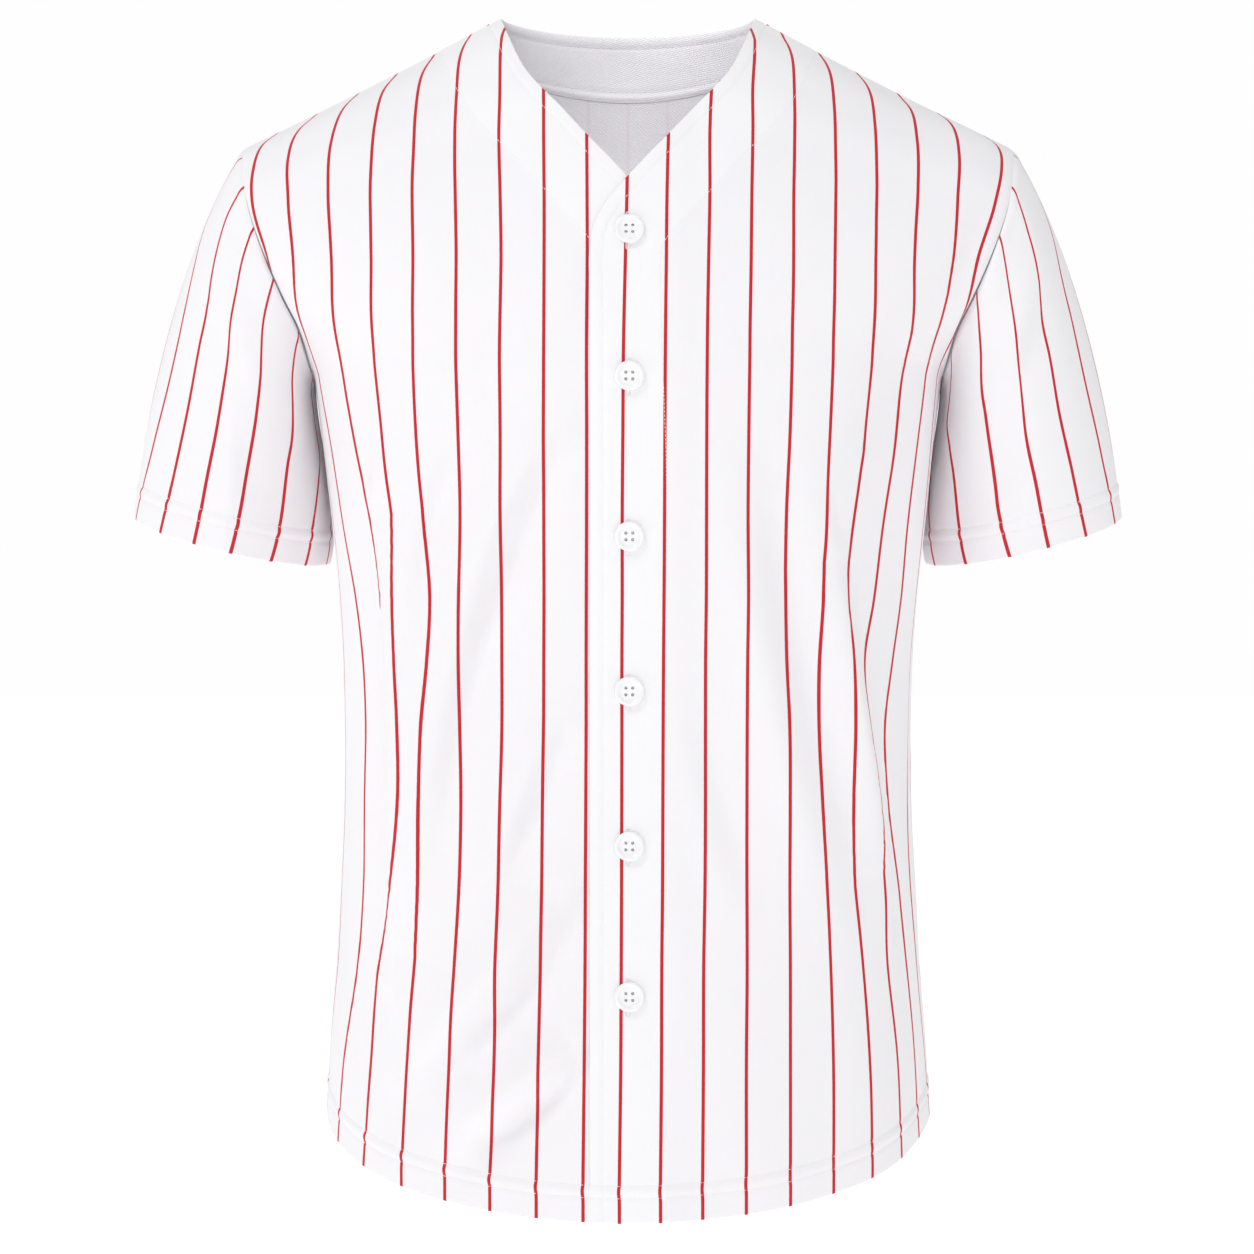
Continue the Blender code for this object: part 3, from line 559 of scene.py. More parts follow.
def distance_to(points, line):
    """Distance of each point from a line, which is filled in first."""
    t = np.linspace(0, 1, 9)[:-1, None]
    filled = np.concatenate([a + (b - a) * t for a, b in zip(line[:-1], line[1:])] + [line[-1:]])
    tree = KDTree(len(filled))
    for index, point in enumerate(filled):
        tree.insert(point, index)
    tree.balance()
    flat = points.reshape(-1, 3)
    return np.array([tree.find(point)[2] for point in flat]).reshape(points.shape[:-1])


def border(rows, columns):
    """Row and column of each point on a grid's border, once round."""
    bottom = [(0, c) for c in range(columns)]
    right = [(r, columns - 1) for r in range(1, rows)]
    top = [(rows - 1, c) for c in range(columns - 2, -1, -1)]
    left = [(r, 0) for r in range(rows - 2, 0, -1)]
    return np.array(bottom + right + top + left)


RIM_STEPS = 4
FOLDED, SEWN = 1.0, 0.2  # how round a wall's rim is at a folded edge and at a seam


def cloth_wall(name, outer, inner, round_sides, marks, finishes):
    """A closed wall between two grids with rounded rims at its bottom, right, top and left sides. Marks are
    kept as attributes on its points. The finishes are those of its outer face and of the rest."""
    rows, columns = outer.shape[:2]
    count = rows * columns
    loop = border(rows, columns)
    face = outer[loop[:, 0], loop[:, 1]]
    back = inner[loop[:, 0], loop[:, 1]]
    inside = outer[np.clip(loop[:, 0], 1, rows - 2), np.clip(loop[:, 1], 1, columns - 2)]
    along = unit(np.roll(face, -1, 0) - np.roll(face, 1, 0))
    outward = unit(np.cross(along, unit(face - back)))
    outward *= np.where(((face - inside) * outward).sum(axis=1, keepdims=True) < 0, -1, 1)
    on_side = np.stack([loop[:, 0] == 0, loop[:, 1] == columns - 1, loop[:, 0] == rows - 1, loop[:, 1] == 0])
    roundness = np.min(np.where(on_side, np.array(round_sides)[:, None], np.inf), axis=0)[:, None]
    middle, half = (face + back) / 2, (face - back) / 2
    reach = np.linalg.norm(half, axis=1, keepdims=True) * roundness * outward
    turns = [math.pi * step / RIM_STEPS for step in range(1, RIM_STEPS)]
    rims = [middle + math.cos(turn) * half + math.sin(turn) * reach for turn in turns]
    points = np.concatenate([outer.reshape(-1, 3), inner.reshape(-1, 3)] + rims)

    index = np.arange(count).reshape(rows, columns)
    quads = np.stack([index[:-1, :-1], index[:-1, 1:], index[1:, 1:], index[1:, :-1]], axis=-1).reshape(-1, 4)
    edge = index[loop[:, 0], loop[:, 1]]
    ladder = [edge] + [2 * count + len(loop) * step + np.arange(len(loop)) for step in range(len(turns))]
    ladder.append(edge + count)
    sides = [np.stack([np.roll(low, -1), low, high, np.roll(high, -1)], axis=-1)
             for low, high in zip(ladder[:-1], ladder[1:])]
    faces = np.concatenate([quads, quads[:, ::-1] + count] + sides)
    first, second, third = quads[len(quads) // 2][:3]
    turned = np.cross(points[second] - points[first], points[third] - points[first])
    if np.dot(turned, points[first] - points[first + count]) < 0:
        faces = faces[:, ::-1]
    mesh = bpy.data.meshes.new(name)
    mesh.from_pydata(points.tolist(), [], faces.tolist())
    in_use = np.repeat([0, 1, 0], [len(quads), len(quads), len(loop) * RIM_STEPS])
    mesh.polygons.foreach_set("material_index", in_use.astype(np.int32))
    for finish in finishes:
        mesh.materials.append(finish)
    for mark, values in marks.items():
        rim_values = np.tile(values[loop[:, 0], loop[:, 1]], len(turns))
        layer = mesh.attributes.new(mark, "FLOAT", "POINT")
        layer.data.foreach_set("value", np.concatenate([values.ravel(), values.ravel(), rim_values]))
    mesh.shade_smooth()
    mesh.validate()
    return new_object(name, mesh)


STRIPE_HALF = 0.00105    # half a stripe's width
STRIPE_BLUR = 0.00013
STRIPE_RAGGED = 0.0001
WALE = 0.0010            # width and height of one knitted loop
COURSE = 0.0008
TUCK_SPACING = 0.0024    # the tucks on the inner face
TUCK_HEIGHT = 0.0013
TUCK_SLANT = 0.35
ONE_LAYER = (0.905, 0.893, 0.918, 1.0)
TWO_LAYERS = (0.930, 0.922, 0.938, 1.0)
CLOUDED = (0.910, 0.897, 0.925, 1.0)
RED = (0.600, 0.010, 0.022, 1.0)
RED_ON_LOOPS = (0.500, 0.006, 0.014, 1.0)
RED_BEHIND = (0.70, 0.42, 0.50, 1.0)
# painted shade: the inner face is the same white knit, coloured darker than the outer face for the shade
# inside the jersey
PAINTED_SHADE_INSIDE_WHITE = (0.83, 0.81, 0.85, 1.0)


def stripe_lines(table, z):
    """How far across each stripe of a table runs at every point of a grid."""
    return [smooth(table, column, z) / 1000 for column in range(1, len(table[0]))]


def stripe_marks(lines, first, across, usual):
    """Number of stripes passed at each point, and the width of cloth from stripe to stripe there. Beyond
    the last line the stripes keep their usual distance."""
    passed = np.full(across.shape, float(first))
    for place, (near, far) in enumerate(zip(lines[:-1], lines[1:])):
        lowest = -np.inf if place == 0 else 0.0
        passed += np.clip((across - near) / (far - near), lowest, 1.0)
    passed += np.maximum(across - lines[-1], 0.0) / usual
    pitch = np.gradient(across, axis=1) / np.gradient(passed, axis=1)
    return {"stripe": passed, "pitch": pitch}


def from_stripe(start):
    """Distance from the middle of the nearest stripe."""
    return start.math("FRACT", start.mark("stripe") + 0.5).from_half() * start.mark("pitch")


def striped_cloth():
    """Outer face: smooth knit, red stripes, and a little less white where it is one layer only."""
    cloth, shader, start = new_material("jersey_cloth_face", Roughness=0.72, Sheen_Weight=0.12,
                                        Sheen_Roughness=0.5, Specular_IOR_Level=0.35)
    edge = from_stripe(start) + (start.noise(900.0, 1.0) - 0.5) * STRIPE_RAGGED
    is_red = 1.0 - edge.step(STRIPE_HALF - STRIPE_BLUR, STRIPE_HALF + STRIPE_BLUR)
    wale = start.mark("across") / WALE
    knit = wale.wave() * (start.mark("up") / COURSE + start.math("FRACT", wale).from_half()).wave()
    layered = start.mark("layers").between(ONE_LAYER, TWO_LAYERS)
    white = (start.noise(9.0, 3.0).step(0.3, 0.7) * 0.25).between(layered, CLOUDED)
    red = (knit * 0.35).between(RED, RED_ON_LOOPS)
    connect(shader, Base_Color=(is_red * (1.0 - start.mark("hidden"))).between(white, red),
            Roughness=0.66 + knit * 0.10, Normal=knit.bumps(0.35, 0.00012))
    return cloth


def inside_cloth(name, tint, show_through):
    """Inner face: the knit's rows of small tucks run slantwise, with painted shade in the hollows between
    them, and the stripes show through faintly.
    """
    cloth, shader, start = new_material(name, Roughness=0.85, Sheen_Weight=0.10, Specular_IOR_Level=0.30)
    across, up = start.mark("across"), start.mark("up")
    tuck = ((across + up) / TUCK_SPACING).wave() * ((across * TUCK_SLANT - up) / TUCK_HEIGHT).wave()
    red = (1.0 - from_stripe(start).step(STRIPE_HALF - 0.0002, STRIPE_HALF + 0.0003)) * show_through
    # Painted shade: the hollows between the tucks are coloured 7 per cent darker.
    painted_tuck_shade = tuple(part * 0.93 for part in tint[:3]) + (1.0,)
    plain = tuck.step(0.0, 0.6).between(painted_tuck_shade, tint)
    connect(shader, Base_Color=red.between(plain, RED_BEHIND), Roughness=0.92 - tuck * 0.12,
            Normal=tuck.bumps(0.6, 0.0003))
    return cloth


cloth_face = striped_cloth()
# The inner face's darker white is painted shade.
cloth_inside = inside_cloth("jersey_cloth_inside", PAINTED_SHADE_INSIDE_WHITE, show_through=0.12)
BUTTON_HEIGHTS = (-0.140, -0.229, -0.326, -0.420, -0.514, -0.605)


def hang(points, folds, across, loosening):
    """A body panel's points with its folds. Round folds stand square to the cloth and creases come forward,
    so that the stripes beside them keep their places as seen from the front."""
    z = points[..., 2]
    rounded = fold_heights([fold for fold in folds if not fold[-1]], across, z)
    creased = fold_heights([fold for fold in folds if fold[-1]], across, z) * loosening
    lift = (rounded + small_waves(across, z, seed=5)) * loosening
    return points + grid_normals(points) * lift[..., None] - np.array((0, 1, 0)) * creased[..., None]


# shares of a section's length at which the columns beside the opening and the seam stand
OPENING_SHARES = (0, 0.002, 0.005, 0.009, 0.013, 0.017, 0.021, 0.025, 0.029, 0.033, 0.037, 0.042)
SEAM_SHARES = (0, 0.002, 0.005, 0.009, 0.014, 0.020)
FADE_AT_SEAM = 0.020     # how far from a seam the folds reach their full height
BUTTON_DENT, DENT_RADIUS = 0.0004, 0.014
# the over front's edge gapes a little between its first two buttons
GAPE, GAPE_Z, GAPE_HALF = 0.0022, -0.183, 0.022


def make_front(name, side):
    """The left front where side is 1, and its mirror image with its own stripes where it is -1."""
    heights = row_heights()
    shares = spread(OPENING_SHARES, SEAM_SHARES, 96)
    points, across = section_points("front", heights, smooth(FRONT_EDGE, 1, heights), shares)
    z = points[..., 2]
    from_edge = distance_to(points, points[:, 0])
    from_hem = lengths_along(points)
    from_seam = np.minimum(across[:, -1:] - across, from_hem[-1:] - from_hem)
    facing_place = from_edge - FACING_SPREAD * (1 - step_up(z, *SPREAD_Z)) * (side > 0)
    overlapped = (1 - step_up(across, 0.020, LAP_START)) * (side < 0)
    loosening = step_up(across, 0.012, 0.032) * step_up(from_seam, 0.0, FADE_AT_SEAM)
    relief = hem_relief(from_hem, across) + ridges(SEAM_RIDGES, from_seam)
    relief += edge_relief(from_edge, facing_place) * (1 - UNDER_RELIEF * overlapped)
    for button_z in BUTTON_HEIGHTS:
        relief -= BUTTON_DENT * bump(np.hypot(across, z - button_z), 0.0, DENT_RADIUS)
    raised = (CLOTH + LAP_GAP) * (1 - step_up(across, LAP_START, LAP_END))
    raised += GAPE * bump(z, GAPE_Z, GAPE_HALF) * (1 - step_up(across, -0.020, 0.004))
    base = points + grid_normals(points) * (raised * (side > 0))[..., None]
    hung = hang(base, FRONT_FOLDS, across * side, loosening)
    mirror = np.array((side, 1, 1))
    face, inner, normals = (part * mirror for part in wall_faces(hung, relief, from_hem))

    table, first = (LEFT_STRIPES, 0) if side > 0 else (RIGHT_STRIPES, 1)
    shifted = across + side * hem_shift(from_hem)
    marks = stripe_marks(stripe_lines(table, z), first, shifted, STRIPE_PITCH)
    hidden = (1 - step_up(abs(marks["stripe"] - HIDDEN_STRIPE), 0.4, 0.5)) * (z < HIDDEN_BELOW) * (side < 0)
    marks.update(across=across, up=from_hem, layers=doubled(facing_place), hidden=hidden)
    piece = cloth_wall(name, face, inner, (FOLDED, SEWN, SEWN, FOLDED), marks, (cloth_face, cloth_inside))
    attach(piece, "root")
    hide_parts("front_left" if side > 0 else "front_right")
    return {"piece": piece, "face": face, "normals": normals, "from_hem": from_hem, "from_edge": from_edge,
            "facing_place": facing_place, "side_line": points[:, -1]}


front_right = make_front("front_right_cloth", -1)
front_left = make_front("front_left_cloth", 1)


# The back. One piece of the same striped knit from side seam to side seam, sewn to the fronts at the sides
# and shoulders. Its curved neck edge is turned in over the facing and its hem is turned up once.

# columns as in the fronts' folds
BACK_FOLDS = (
    (-0.030, -0.330, -0.080, -0.410, -0.120, -0.560, 0.018, 0.018, -0.0050, 0),
    (0.020, -0.350, 0.070, -0.430, 0.110, -0.580, 0.018, 0.018, -0.0050, 0),
    (-0.150, -0.300, -0.155, -0.430, -0.150, -0.600, 0.030, 0.014, 0.0080, 0),
    (0.152, -0.310, 0.158, -0.440, 0.155, -0.610, 0.030, 0.014, 0.0080, 0),
    (-0.010, -0.480, 0.000, -0.560, -0.015, -0.660, 0.018, 0.018, 0.0040, 0),
    (-0.060, -0.560, -0.085, -0.620, -0.110, -0.690, 0.015, 0.015, -0.0030, 0),
    (0.055, -0.570, 0.080, -0.630, 0.100, -0.695, 0.015, 0.015, -0.0030, 0),
    (-0.205, -0.170, -0.170, -0.215, -0.130, -0.260, 0.018, 0.016, -0.0035, 0),
    (0.205, -0.165, 0.170, -0.210, 0.135, -0.265, 0.018, 0.016, -0.0035, 0),
    (-0.060, -0.075, 0.000, -0.095, 0.060, -0.075, 0.014, 0.014, -0.0012, 0),
)


def back_shares():
    """Shares of a half back's section for its columns; one column ends on the neck point."""
    neck = lengths_along(back_top_line(np.linspace(0.0, NECK_TURN, SECTION_SAMPLES)))[-1]
    whole = lengths_along(back_top_line(np.linspace(0.0, 1.0, SECTION_SAMPLES)))[-1]
    inner = np.linspace(0.0, neck / whole, 34)
    outer = spread([0.0], [0, 0.003, 0.007, 0.012, 0.018, 0.026], 40)
    return np.concatenate([inner, neck / whole + (1 - neck / whole) * outer[1:]]), len(inner) - 1


def make_back(name):
    heights = row_heights()
    shares, neck_column = back_shares()
    # The half back is mirrored for the other half; the centre column is shared.
    half, half_across = section_points("back", heights, np.zeros(len(heights)), shares)
    points = np.concatenate([(half * (-1, 1, 1))[:, :0:-1], half], axis=1)
    across = np.concatenate([-half_across[:, :0:-1], half_across], axis=1)
    middle = len(shares) - 1
    neck = slice(middle - neck_column, middle + neck_column + 1)
    from_hem = lengths_along(points)
    from_top = from_hem[-1:] - from_hem
    from_neck = distance_to(points, points[-1, neck])
    neck_point = across[-1, middle + neck_column]
    from_shoulder = from_top + 0.05 * (1 - step_up(abs(across), neck_point, neck_point + 0.01))
    from_seam = np.minimum(across[:, -1:] - abs(across), from_shoulder)
    loosening = step_up(from_seam, 0.0, FADE_AT_SEAM) * step_up(from_neck, 0.0, FADE_AT_SEAM)
    relief = (hem_relief(from_hem, across) + ridges(SEAM_RIDGES, from_seam)
              + edge_relief(from_neck, from_neck))
    hung = hang(points, BACK_FOLDS, across, loosening)
    face, inner, normals = wall_faces(hung, relief, from_hem)

    # The stripes stand a little wider apart towards the hem and over the shoulder blades.
    widening = 0.09 * (1 - step_up(heights, 0.0, 0.6)) + 0.03 * step_up(heights, 1.2, 1.8)
    pitch = STRIPE_PITCH * (1 + widening[:, None]) + 0 * across
    marks = {"across": across, "up": from_hem, "stripe": (across + hem_shift(from_hem)) / pitch,
             "pitch": pitch, "layers": doubled(from_neck), "hidden": 1 - step_up(from_neck, 0.0008, 0.0030)}
    piece = cloth_wall(name, face, inner, (FOLDED, SEWN, FOLDED, SEWN), marks, (cloth_face, cloth_inside))
    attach(piece, "root")
    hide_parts("back")
    return {"piece": piece, "face": face, "inner": inner, "normals": normals, "from_hem": from_hem,
            "from_neck": from_neck, "from_top": from_top, "neck": neck, "side_line": points[:, -1]}


back = make_back("back_cloth")


# The back neck facing. A curved strip of the same knit, plain white, sewn along the neck edge and stitched
# down inside the back with its slanting tucks showing, so that it makes the band seen through the neck.
FACING_GAP = 0.0003
# painted light: the band is the same white knit, coloured lighter than the jersey's inner face for the light
# inside the neck
PAINTED_LIGHT_BAND_WHITE = (0.94, 0.92, 0.955, 1.0)
BAND_UPPER_ROW, BAND_LOWER_ROW = 0.0080, 0.0375
BAND_RIDGES = (
    (0.0042, 0.0003, 0.0022), (BAND_UPPER_ROW, -0.0004, 0.0010), (BAND_LOWER_ROW, -0.0004, 0.0012),
    (0.0415, 0.0004, 0.0018),
)


def make_facing(name):
    """The back's inner face is followed down from the neck edge in each of the neck's columns."""
    depths = np.concatenate([[0, 0.0006, 0.0014], np.linspace(0.003, 0.0415, 24), [0.0428, 0.0437, 0.0443]])
    down = slice(None, None, -1)
    columns = [(down, column) for column in range(back["neck"].start, back["neck"].stop)]
    behind, facing = (np.stack([along_line(depths, back["from_top"][column], back[part][column])
                                for column in columns], axis=1) for part in ("inner", "normals"))
    facing = unit(facing)
    depth = depths[:, None] * np.ones(behind.shape[1])
    relief = (ridges(BAND_RIDGES, depth) - 0.0003 * (1 - step_up(depth, 0.0, 0.0012))
              - 0.0006 * step_up(depth, 0.0405, 0.0443))
    near = behind - facing * FACING_GAP
    shown = near - facing * (CLOTH + relief)[..., None]
    marks = {"across": lengths_along(near[-1])[None, :] + 0 * depth, "up": depth, "stripe": 0.5 + 0 * depth,
             "pitch": STRIPE_PITCH + 0 * depth, "layers": 1 + 0 * depth}
    # The band's lighter white is painted light.
    shown_finish = inside_cloth("facing_cloth_inside", PAINTED_LIGHT_BAND_WHITE, show_through=0.0)
    piece = cloth_wall(name, shown, near, (0.6, 0.4, FOLDED, 0.4), marks, (shown_finish, cloth_inside))
    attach(piece, "root")
    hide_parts("back_neck_facing")
    return {"piece": piece, "face": shown, "normals": -facing, "depth": depth}


facing = make_facing("back_neck_facing_cloth")

# The neck lamp lights only what is seen through the neck, as where the inside is lit for its own shot.
lit_inside = bpy.data.collections.new("lit_inside")
lit_inside.objects.link(back["piece"])
lit_inside.objects.link(facing["piece"])
neck_lamp.light_linking.receiver_collection = lit_inside


# The sleeves. Each is one piece of the striped knit, sewn into a tube under the arm and set into the
# armhole, with its hem turned up like the body's. Soft folds run down from the seam to the underarm.
CUFF_MIDDLE = np.array((0.2492, 0.000, -0.3246))
CUFF_OUT = np.array((0.0615, 0.000, 0.0142))
CUFF_IN = np.array((-0.0600, 0.030, -0.0142))
CUFF_FRONT = np.array((0.0, -0.042, -0.0092))
CUFF_BACK = np.array((0.0, 0.055, 0.0080))
# on the sleeve's outer side, front, inner side and back: the direction (x, y, z) in which it leaves the
# armhole, then the one in which it meets the cuff
SLEEVE_SIDES = (
    (0.110, 0.000, -0.167, 0.031, 0.000, -0.258),
    (0.075, -0.030, -0.150, 0.022, 0.010, -0.180),
    (0.004, 0.045, -0.110, 0.020, 0.000, -0.110),
    (0.075, 0.030, -0.150, 0.022, -0.004, -0.180),
)
# columns as in the fronts' folds, with x in place of across
SLEEVE_FOLDS = (
    (0.2350, -0.1210, 0.2269, -0.1473, 0.2140, -0.1690, 0.0070, 0.0080, -0.0022, 0),
    (0.2420, -0.1390, 0.2319, -0.1783, 0.2185, -0.2090, 0.0075, 0.0085, -0.0026, 0),
    (0.2590, -0.1800, 0.2492, -0.2124, 0.2360, -0.2510, 0.0085, 0.0095, -0.0022, 0),
    (0.2520, -0.1700, 0.2399, -0.2062, 0.2296, -0.2340, 0.0070, 0.0070, 0.0016, 0),
    (0.2480, -0.2450, 0.2360, -0.2780, 0.2280, -0.3080, 0.0100, 0.0100, -0.0018, 0),
)

# way down the sleeve, then how far round in thousandths each stripe runs, from the shoulder to the front
RIGHT_SLEEVE_STRIPES = (
    (0.00, 60, 132, 202, 284, 376, 470), (0.10, 40, 129, 206, 292, 375, 470),
    (0.20, 45, 140, 217, 299, 374, 470), (0.30, 74, 153, 222, 303, 375, 468),
    (0.45, 92, 157, 224, 298, 369, 462), (0.60, 92, 156, 219, 287, 353, 434),
    (0.80, 72, 146, 207, 270, 338, 406), (1.00, 42, 130, 196, 256, 322, 390),
)
LEFT_SLEEVE_STRIPES = (
    (0.00, 46, 132, 215, 305, 405, 490), (0.10, 37, 147, 232, 324, 425, 495),
    (0.20, 58, 158, 244, 331, 431, 497), (0.30, 87, 174, 250, 333, 432, 495),
    (0.45, 97, 177, 249, 323, 408, 485), (0.60, 97, 176, 245, 311, 386, 470),
    (0.80, 84, 164, 230, 297, 369, 450), (1.00, 71, 151, 219, 281, 357, 435),
)
SLEEVE_STRIPE_SHARE = 0.068
STRIPES_BEHIND = 7


def sleeve_lines(loop, around, distances):
    """Points of the left sleeve on lines from the armhole loop down to the cuff."""
    cos, sin = np.cos(2 * math.pi * around)[:, None], np.sin(2 * math.pi * around)[:, None]
    cuff = (CUFF_MIDDLE + np.where(cos > 0, cos * CUFF_OUT, -cos * CUFF_IN)
            + np.where(sin > 0, sin * CUFF_FRONT, -sin * CUFF_BACK))
    shares = [np.clip(value, 0, None) ** 2 for value in (cos, sin, -cos, -sin)]
    leave = sum(share * np.array(side[:3]) for share, side in zip(shares, SLEEVE_SIDES))
    meet = sum(share * np.array(side[3:]) for share, side in zip(shares, SLEEVE_SIDES))
    weights = curve_weights(np.linspace(0.0, 1.0, 160)[:, None, None])
    dense = sum(weight * part for weight, part in zip(weights, (loop, leave, cuff, meet)))
    lengths = lengths_along(dense)
    wanted = [distances(whole) for whole in lengths[-1]]
    lines = [along_line(wanted[column], lengths[:, column], dense[:, column]) for column in range(len(loop))]
    return np.stack(lines, axis=1), lengths[-1] - np.array(wanted).T


def sleeve_rows(whole):
    """Distances from the armhole of a sleeve's rows: close together at the seam and in the hem."""
    top = np.array([0, 0.0006, 0.0014, 0.0024, 0.0038, 0.0055])
    low = whole - np.arange(0.0324, -0.0001, -0.0012)
    return np.concatenate([top, np.linspace(top[-1], low[0], 58)[1:-1], low])


def armhole(around):
    """Points of the left armhole, from -0.5 at the underarm up the back to 0 and down the front to 0.5."""
    loop = np.zeros((len(around), 3))
    for panel, chosen in ((front_left, around >= 0), (back, around < 0)):
        line = panel["side_line"][row_heights() >= 1.0]
        lengths = lengths_along(line)
        loop[chosen] = along_line(1 - abs(around[chosen]) * 2, lengths / lengths[-1], line)
    return loop


def make_sleeve(name, side):
    """The left sleeve where side is 1, and its mirror image with its own stripes where it is -1."""
    beside_seam = (0, 0.0010, 0.0022, 0.0040, 0.0065)
    around = spread(beside_seam, beside_seam, 150) - 0.5
    points, from_hem = sleeve_lines(armhole(around), around, sleeve_rows)
    from_armhole = lengths_along(points)
    from_start = lengths_along(points.transpose(1, 0, 2)).T
    across = around[None, :] * from_start[:, -1:]
    from_seam = np.minimum(from_armhole, np.minimum(from_start, from_start[:, -1:] - from_start))
    front_half = step_up(around, 0.02, 0.08)[None, :]
    strength = (front_half + 0.7 * front_half[:, ::-1]) * (1.0 if side > 0 else 0.8)
    lift = (fold_heights(SLEEVE_FOLDS, points[..., 0], points[..., 2]) * strength
            + small_waves(around[None, :] * 0.45, points[..., 2], seed=8))
    lift *= step_up(from_seam, 0.0, 0.016) * step_up(from_hem, 0.020, 0.045)
    hung = points + grid_normals(points, SLEEVE_MIDDLE) * lift[..., None]
    relief = hem_relief(from_hem, across) + ridges(SEAM_RIDGES, from_seam)
    mirror = np.array((side, 1, 1))
    face, inner, normals = (part * mirror for part in wall_faces(hung, relief, from_hem, SLEEVE_MIDDLE))

    # Behind the first stripe that shows from the front, the next ones even out within three stripes.
    place = from_armhole / from_armhole[-1:]
    round_share = 0 * place + around[None, :]
    seen = stripe_lines(LEFT_SLEEVE_STRIPES if side > 0 else RIGHT_SLEEVE_STRIPES, place)
    level = seen[0].mean()
    behind = [level + (seen[0] - level) * (1 - step_up(step, 0, 3)) - SLEEVE_STRIPE_SHARE * step
              for step in range(STRIPES_BEHIND, 0, -1)]
    marks = stripe_marks(behind + seen, -STRIPES_BEHIND, round_share, SLEEVE_STRIPE_SHARE)
    marks["pitch"] = marks["pitch"] * across / np.where(abs(round_share) < 1e-6, 1e-6, round_share)
    marks.update(across=across, up=from_hem, layers=0 * across)
    piece = cloth_wall(name, face, inner, (SEWN, SEWN, FOLDED, SEWN), marks, (cloth_face, cloth_inside))
    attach(piece, "root")
    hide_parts("sleeve_left" if side > 0 else "sleeve_right")
    return {"piece": piece, "face": face, "normals": normals, "from_hem": from_hem}


sleeve_right = make_sleeve("sleeve_right_cloth", -1)
sleeve_left = make_sleeve("sleeve_left_cloth", 1)


# The stitching. White polyester thread in even lockstitches: two rows round every hem and cuff, one near
# the neck and the opening, and one that holds the facing's other edge down.

# sizes of the stitches, unless a row asks for others
STITCH_SIZES = {"Spacing": 0.0024, "Stitch length": 0.0019, "Thread width": 0.00042, "Thread height": 0.00032}


def stitch_rows_tree():
    """Node tree that sets a stitch at even steps along each line of a mesh. The lines' points say which
    way a stitch lies and which way the cloth faces."""
    tree = bpy.data.node_groups.new("stitch_rows", "GeometryNodeTree")
    tree.is_modifier = True
    sockets = tree.interface
    sockets.new_socket("Rows", in_out="INPUT", socket_type="NodeSocketGeometry")
    for label, default in STITCH_SIZES.items():
        sockets.new_socket(label, in_out="INPUT", socket_type="NodeSocketFloat").default_value = default
    sockets.new_socket("Thread", in_out="INPUT", socket_type="NodeSocketMaterial")
    sockets.new_socket("Stitches", in_out="OUTPUT", socket_type="NodeSocketGeometry")
    start = Wire(tree)
    given = tree.nodes.new("NodeGroupInput")

    def value(label):
        return Wire(tree, given.outputs[label])

    curves = start.node("GeometryNodeMeshToCurve", {}, {"Mesh": value("Rows")})
    points = start.node("GeometryNodeCurveToPoints", {"mode": "LENGTH"},
                        {"Curve": curves, "Length": value("Spacing")})
    lie, facing = (start.node("GeometryNodeInputNamedAttribute", {"data_type": "FLOAT_VECTOR"},
                              {"Name": name}) for name in ("lie", "facing"))
    turned = start.node("FunctionNodeAlignRotationToVector", {"axis": "X"}, {"Vector": lie})
    turned = start.node("FunctionNodeAlignRotationToVector", {"axis": "Z", "pivot_axis": "X"},
                        {"Rotation": turned, "Vector": facing})
    uneven = start.node("FunctionNodeRandomValue", {"data_type": "FLOAT"},
                        {"Min": 0.92, "Max": 1.06, "Seed": 3}, output=1)
    size = start.node("ShaderNodeCombineXYZ", {}, {"X": value("Stitch length") * uneven,
                                                   "Y": value("Thread width"), "Z": value("Thread height")})
    loop = start.node("GeometryNodeMeshUVSphere", {}, {"Segments": 6, "Rings": 5, "Radius": 0.5})
    lying = start.node("GeometryNodeTransform", {}, {"Geometry": loop, "Rotation": (0, math.pi / 2, 0)})
    smooth_loop = start.node("GeometryNodeSetShadeSmooth", {}, {"Geometry": lying})
    placed = start.node("GeometryNodeInstanceOnPoints", {}, {
        "Points": points, "Instance": smooth_loop, "Rotation": turned, "Scale": size})
    real = start.node("GeometryNodeRealizeInstances", {}, {"Geometry": placed})
    dyed = start.node("GeometryNodeSetMaterial", {}, {"Geometry": real, "Material": value("Thread")})
    result = tree.nodes.new("NodeGroupOutput")
    tree.links.new(dyed.socket, result.inputs["Stitches"])
    return tree


def thread_finish():
    """Twisted white polyester thread with a slight sheen, and painted shade in the grooves of its twist."""
    thread, shader, start = new_material("white_thread", Roughness=0.55, Sheen_Weight=0.2)
    twist = start.node("ShaderNodeTexWave", {"bands_direction": "DIAGONAL"},
                       {"Vector": start.place(), "Scale": 900.0})
    # Painted shade: the thread is coloured darker where its twist is low.
    connect(shader, Base_Color=twist.between((0.86, 0.85, 0.88, 1.0), (0.93, 0.92, 0.94, 1.0)),
            Roughness=0.48 + twist * 0.15, Normal=twist.bumps(0.4, 0.0001))
    return thread


stitch_rows = stitch_rows_tree()
white_thread = thread_finish()


def row_at(panel, measure, level, across_rows=False):
    """Points and face normals where a measure passes a level, one on each line of a panel's grid."""
    lines = np.concatenate([panel["face"], panel["normals"]], axis=-1)
    if across_rows:
        lines, measure = lines.transpose(1, 0, 2), measure.T
    found = []
    for line, value in zip(lines, measure):
        passed = np.flatnonzero((value[:-1] <= level) & (value[1:] > level))
        if len(passed):
            first = passed[0]
            share = (level - value[first]) / (value[first + 1] - value[first])
            found.append(line[first] + share * (line[first + 1] - line[first]))
    return np.array(found)


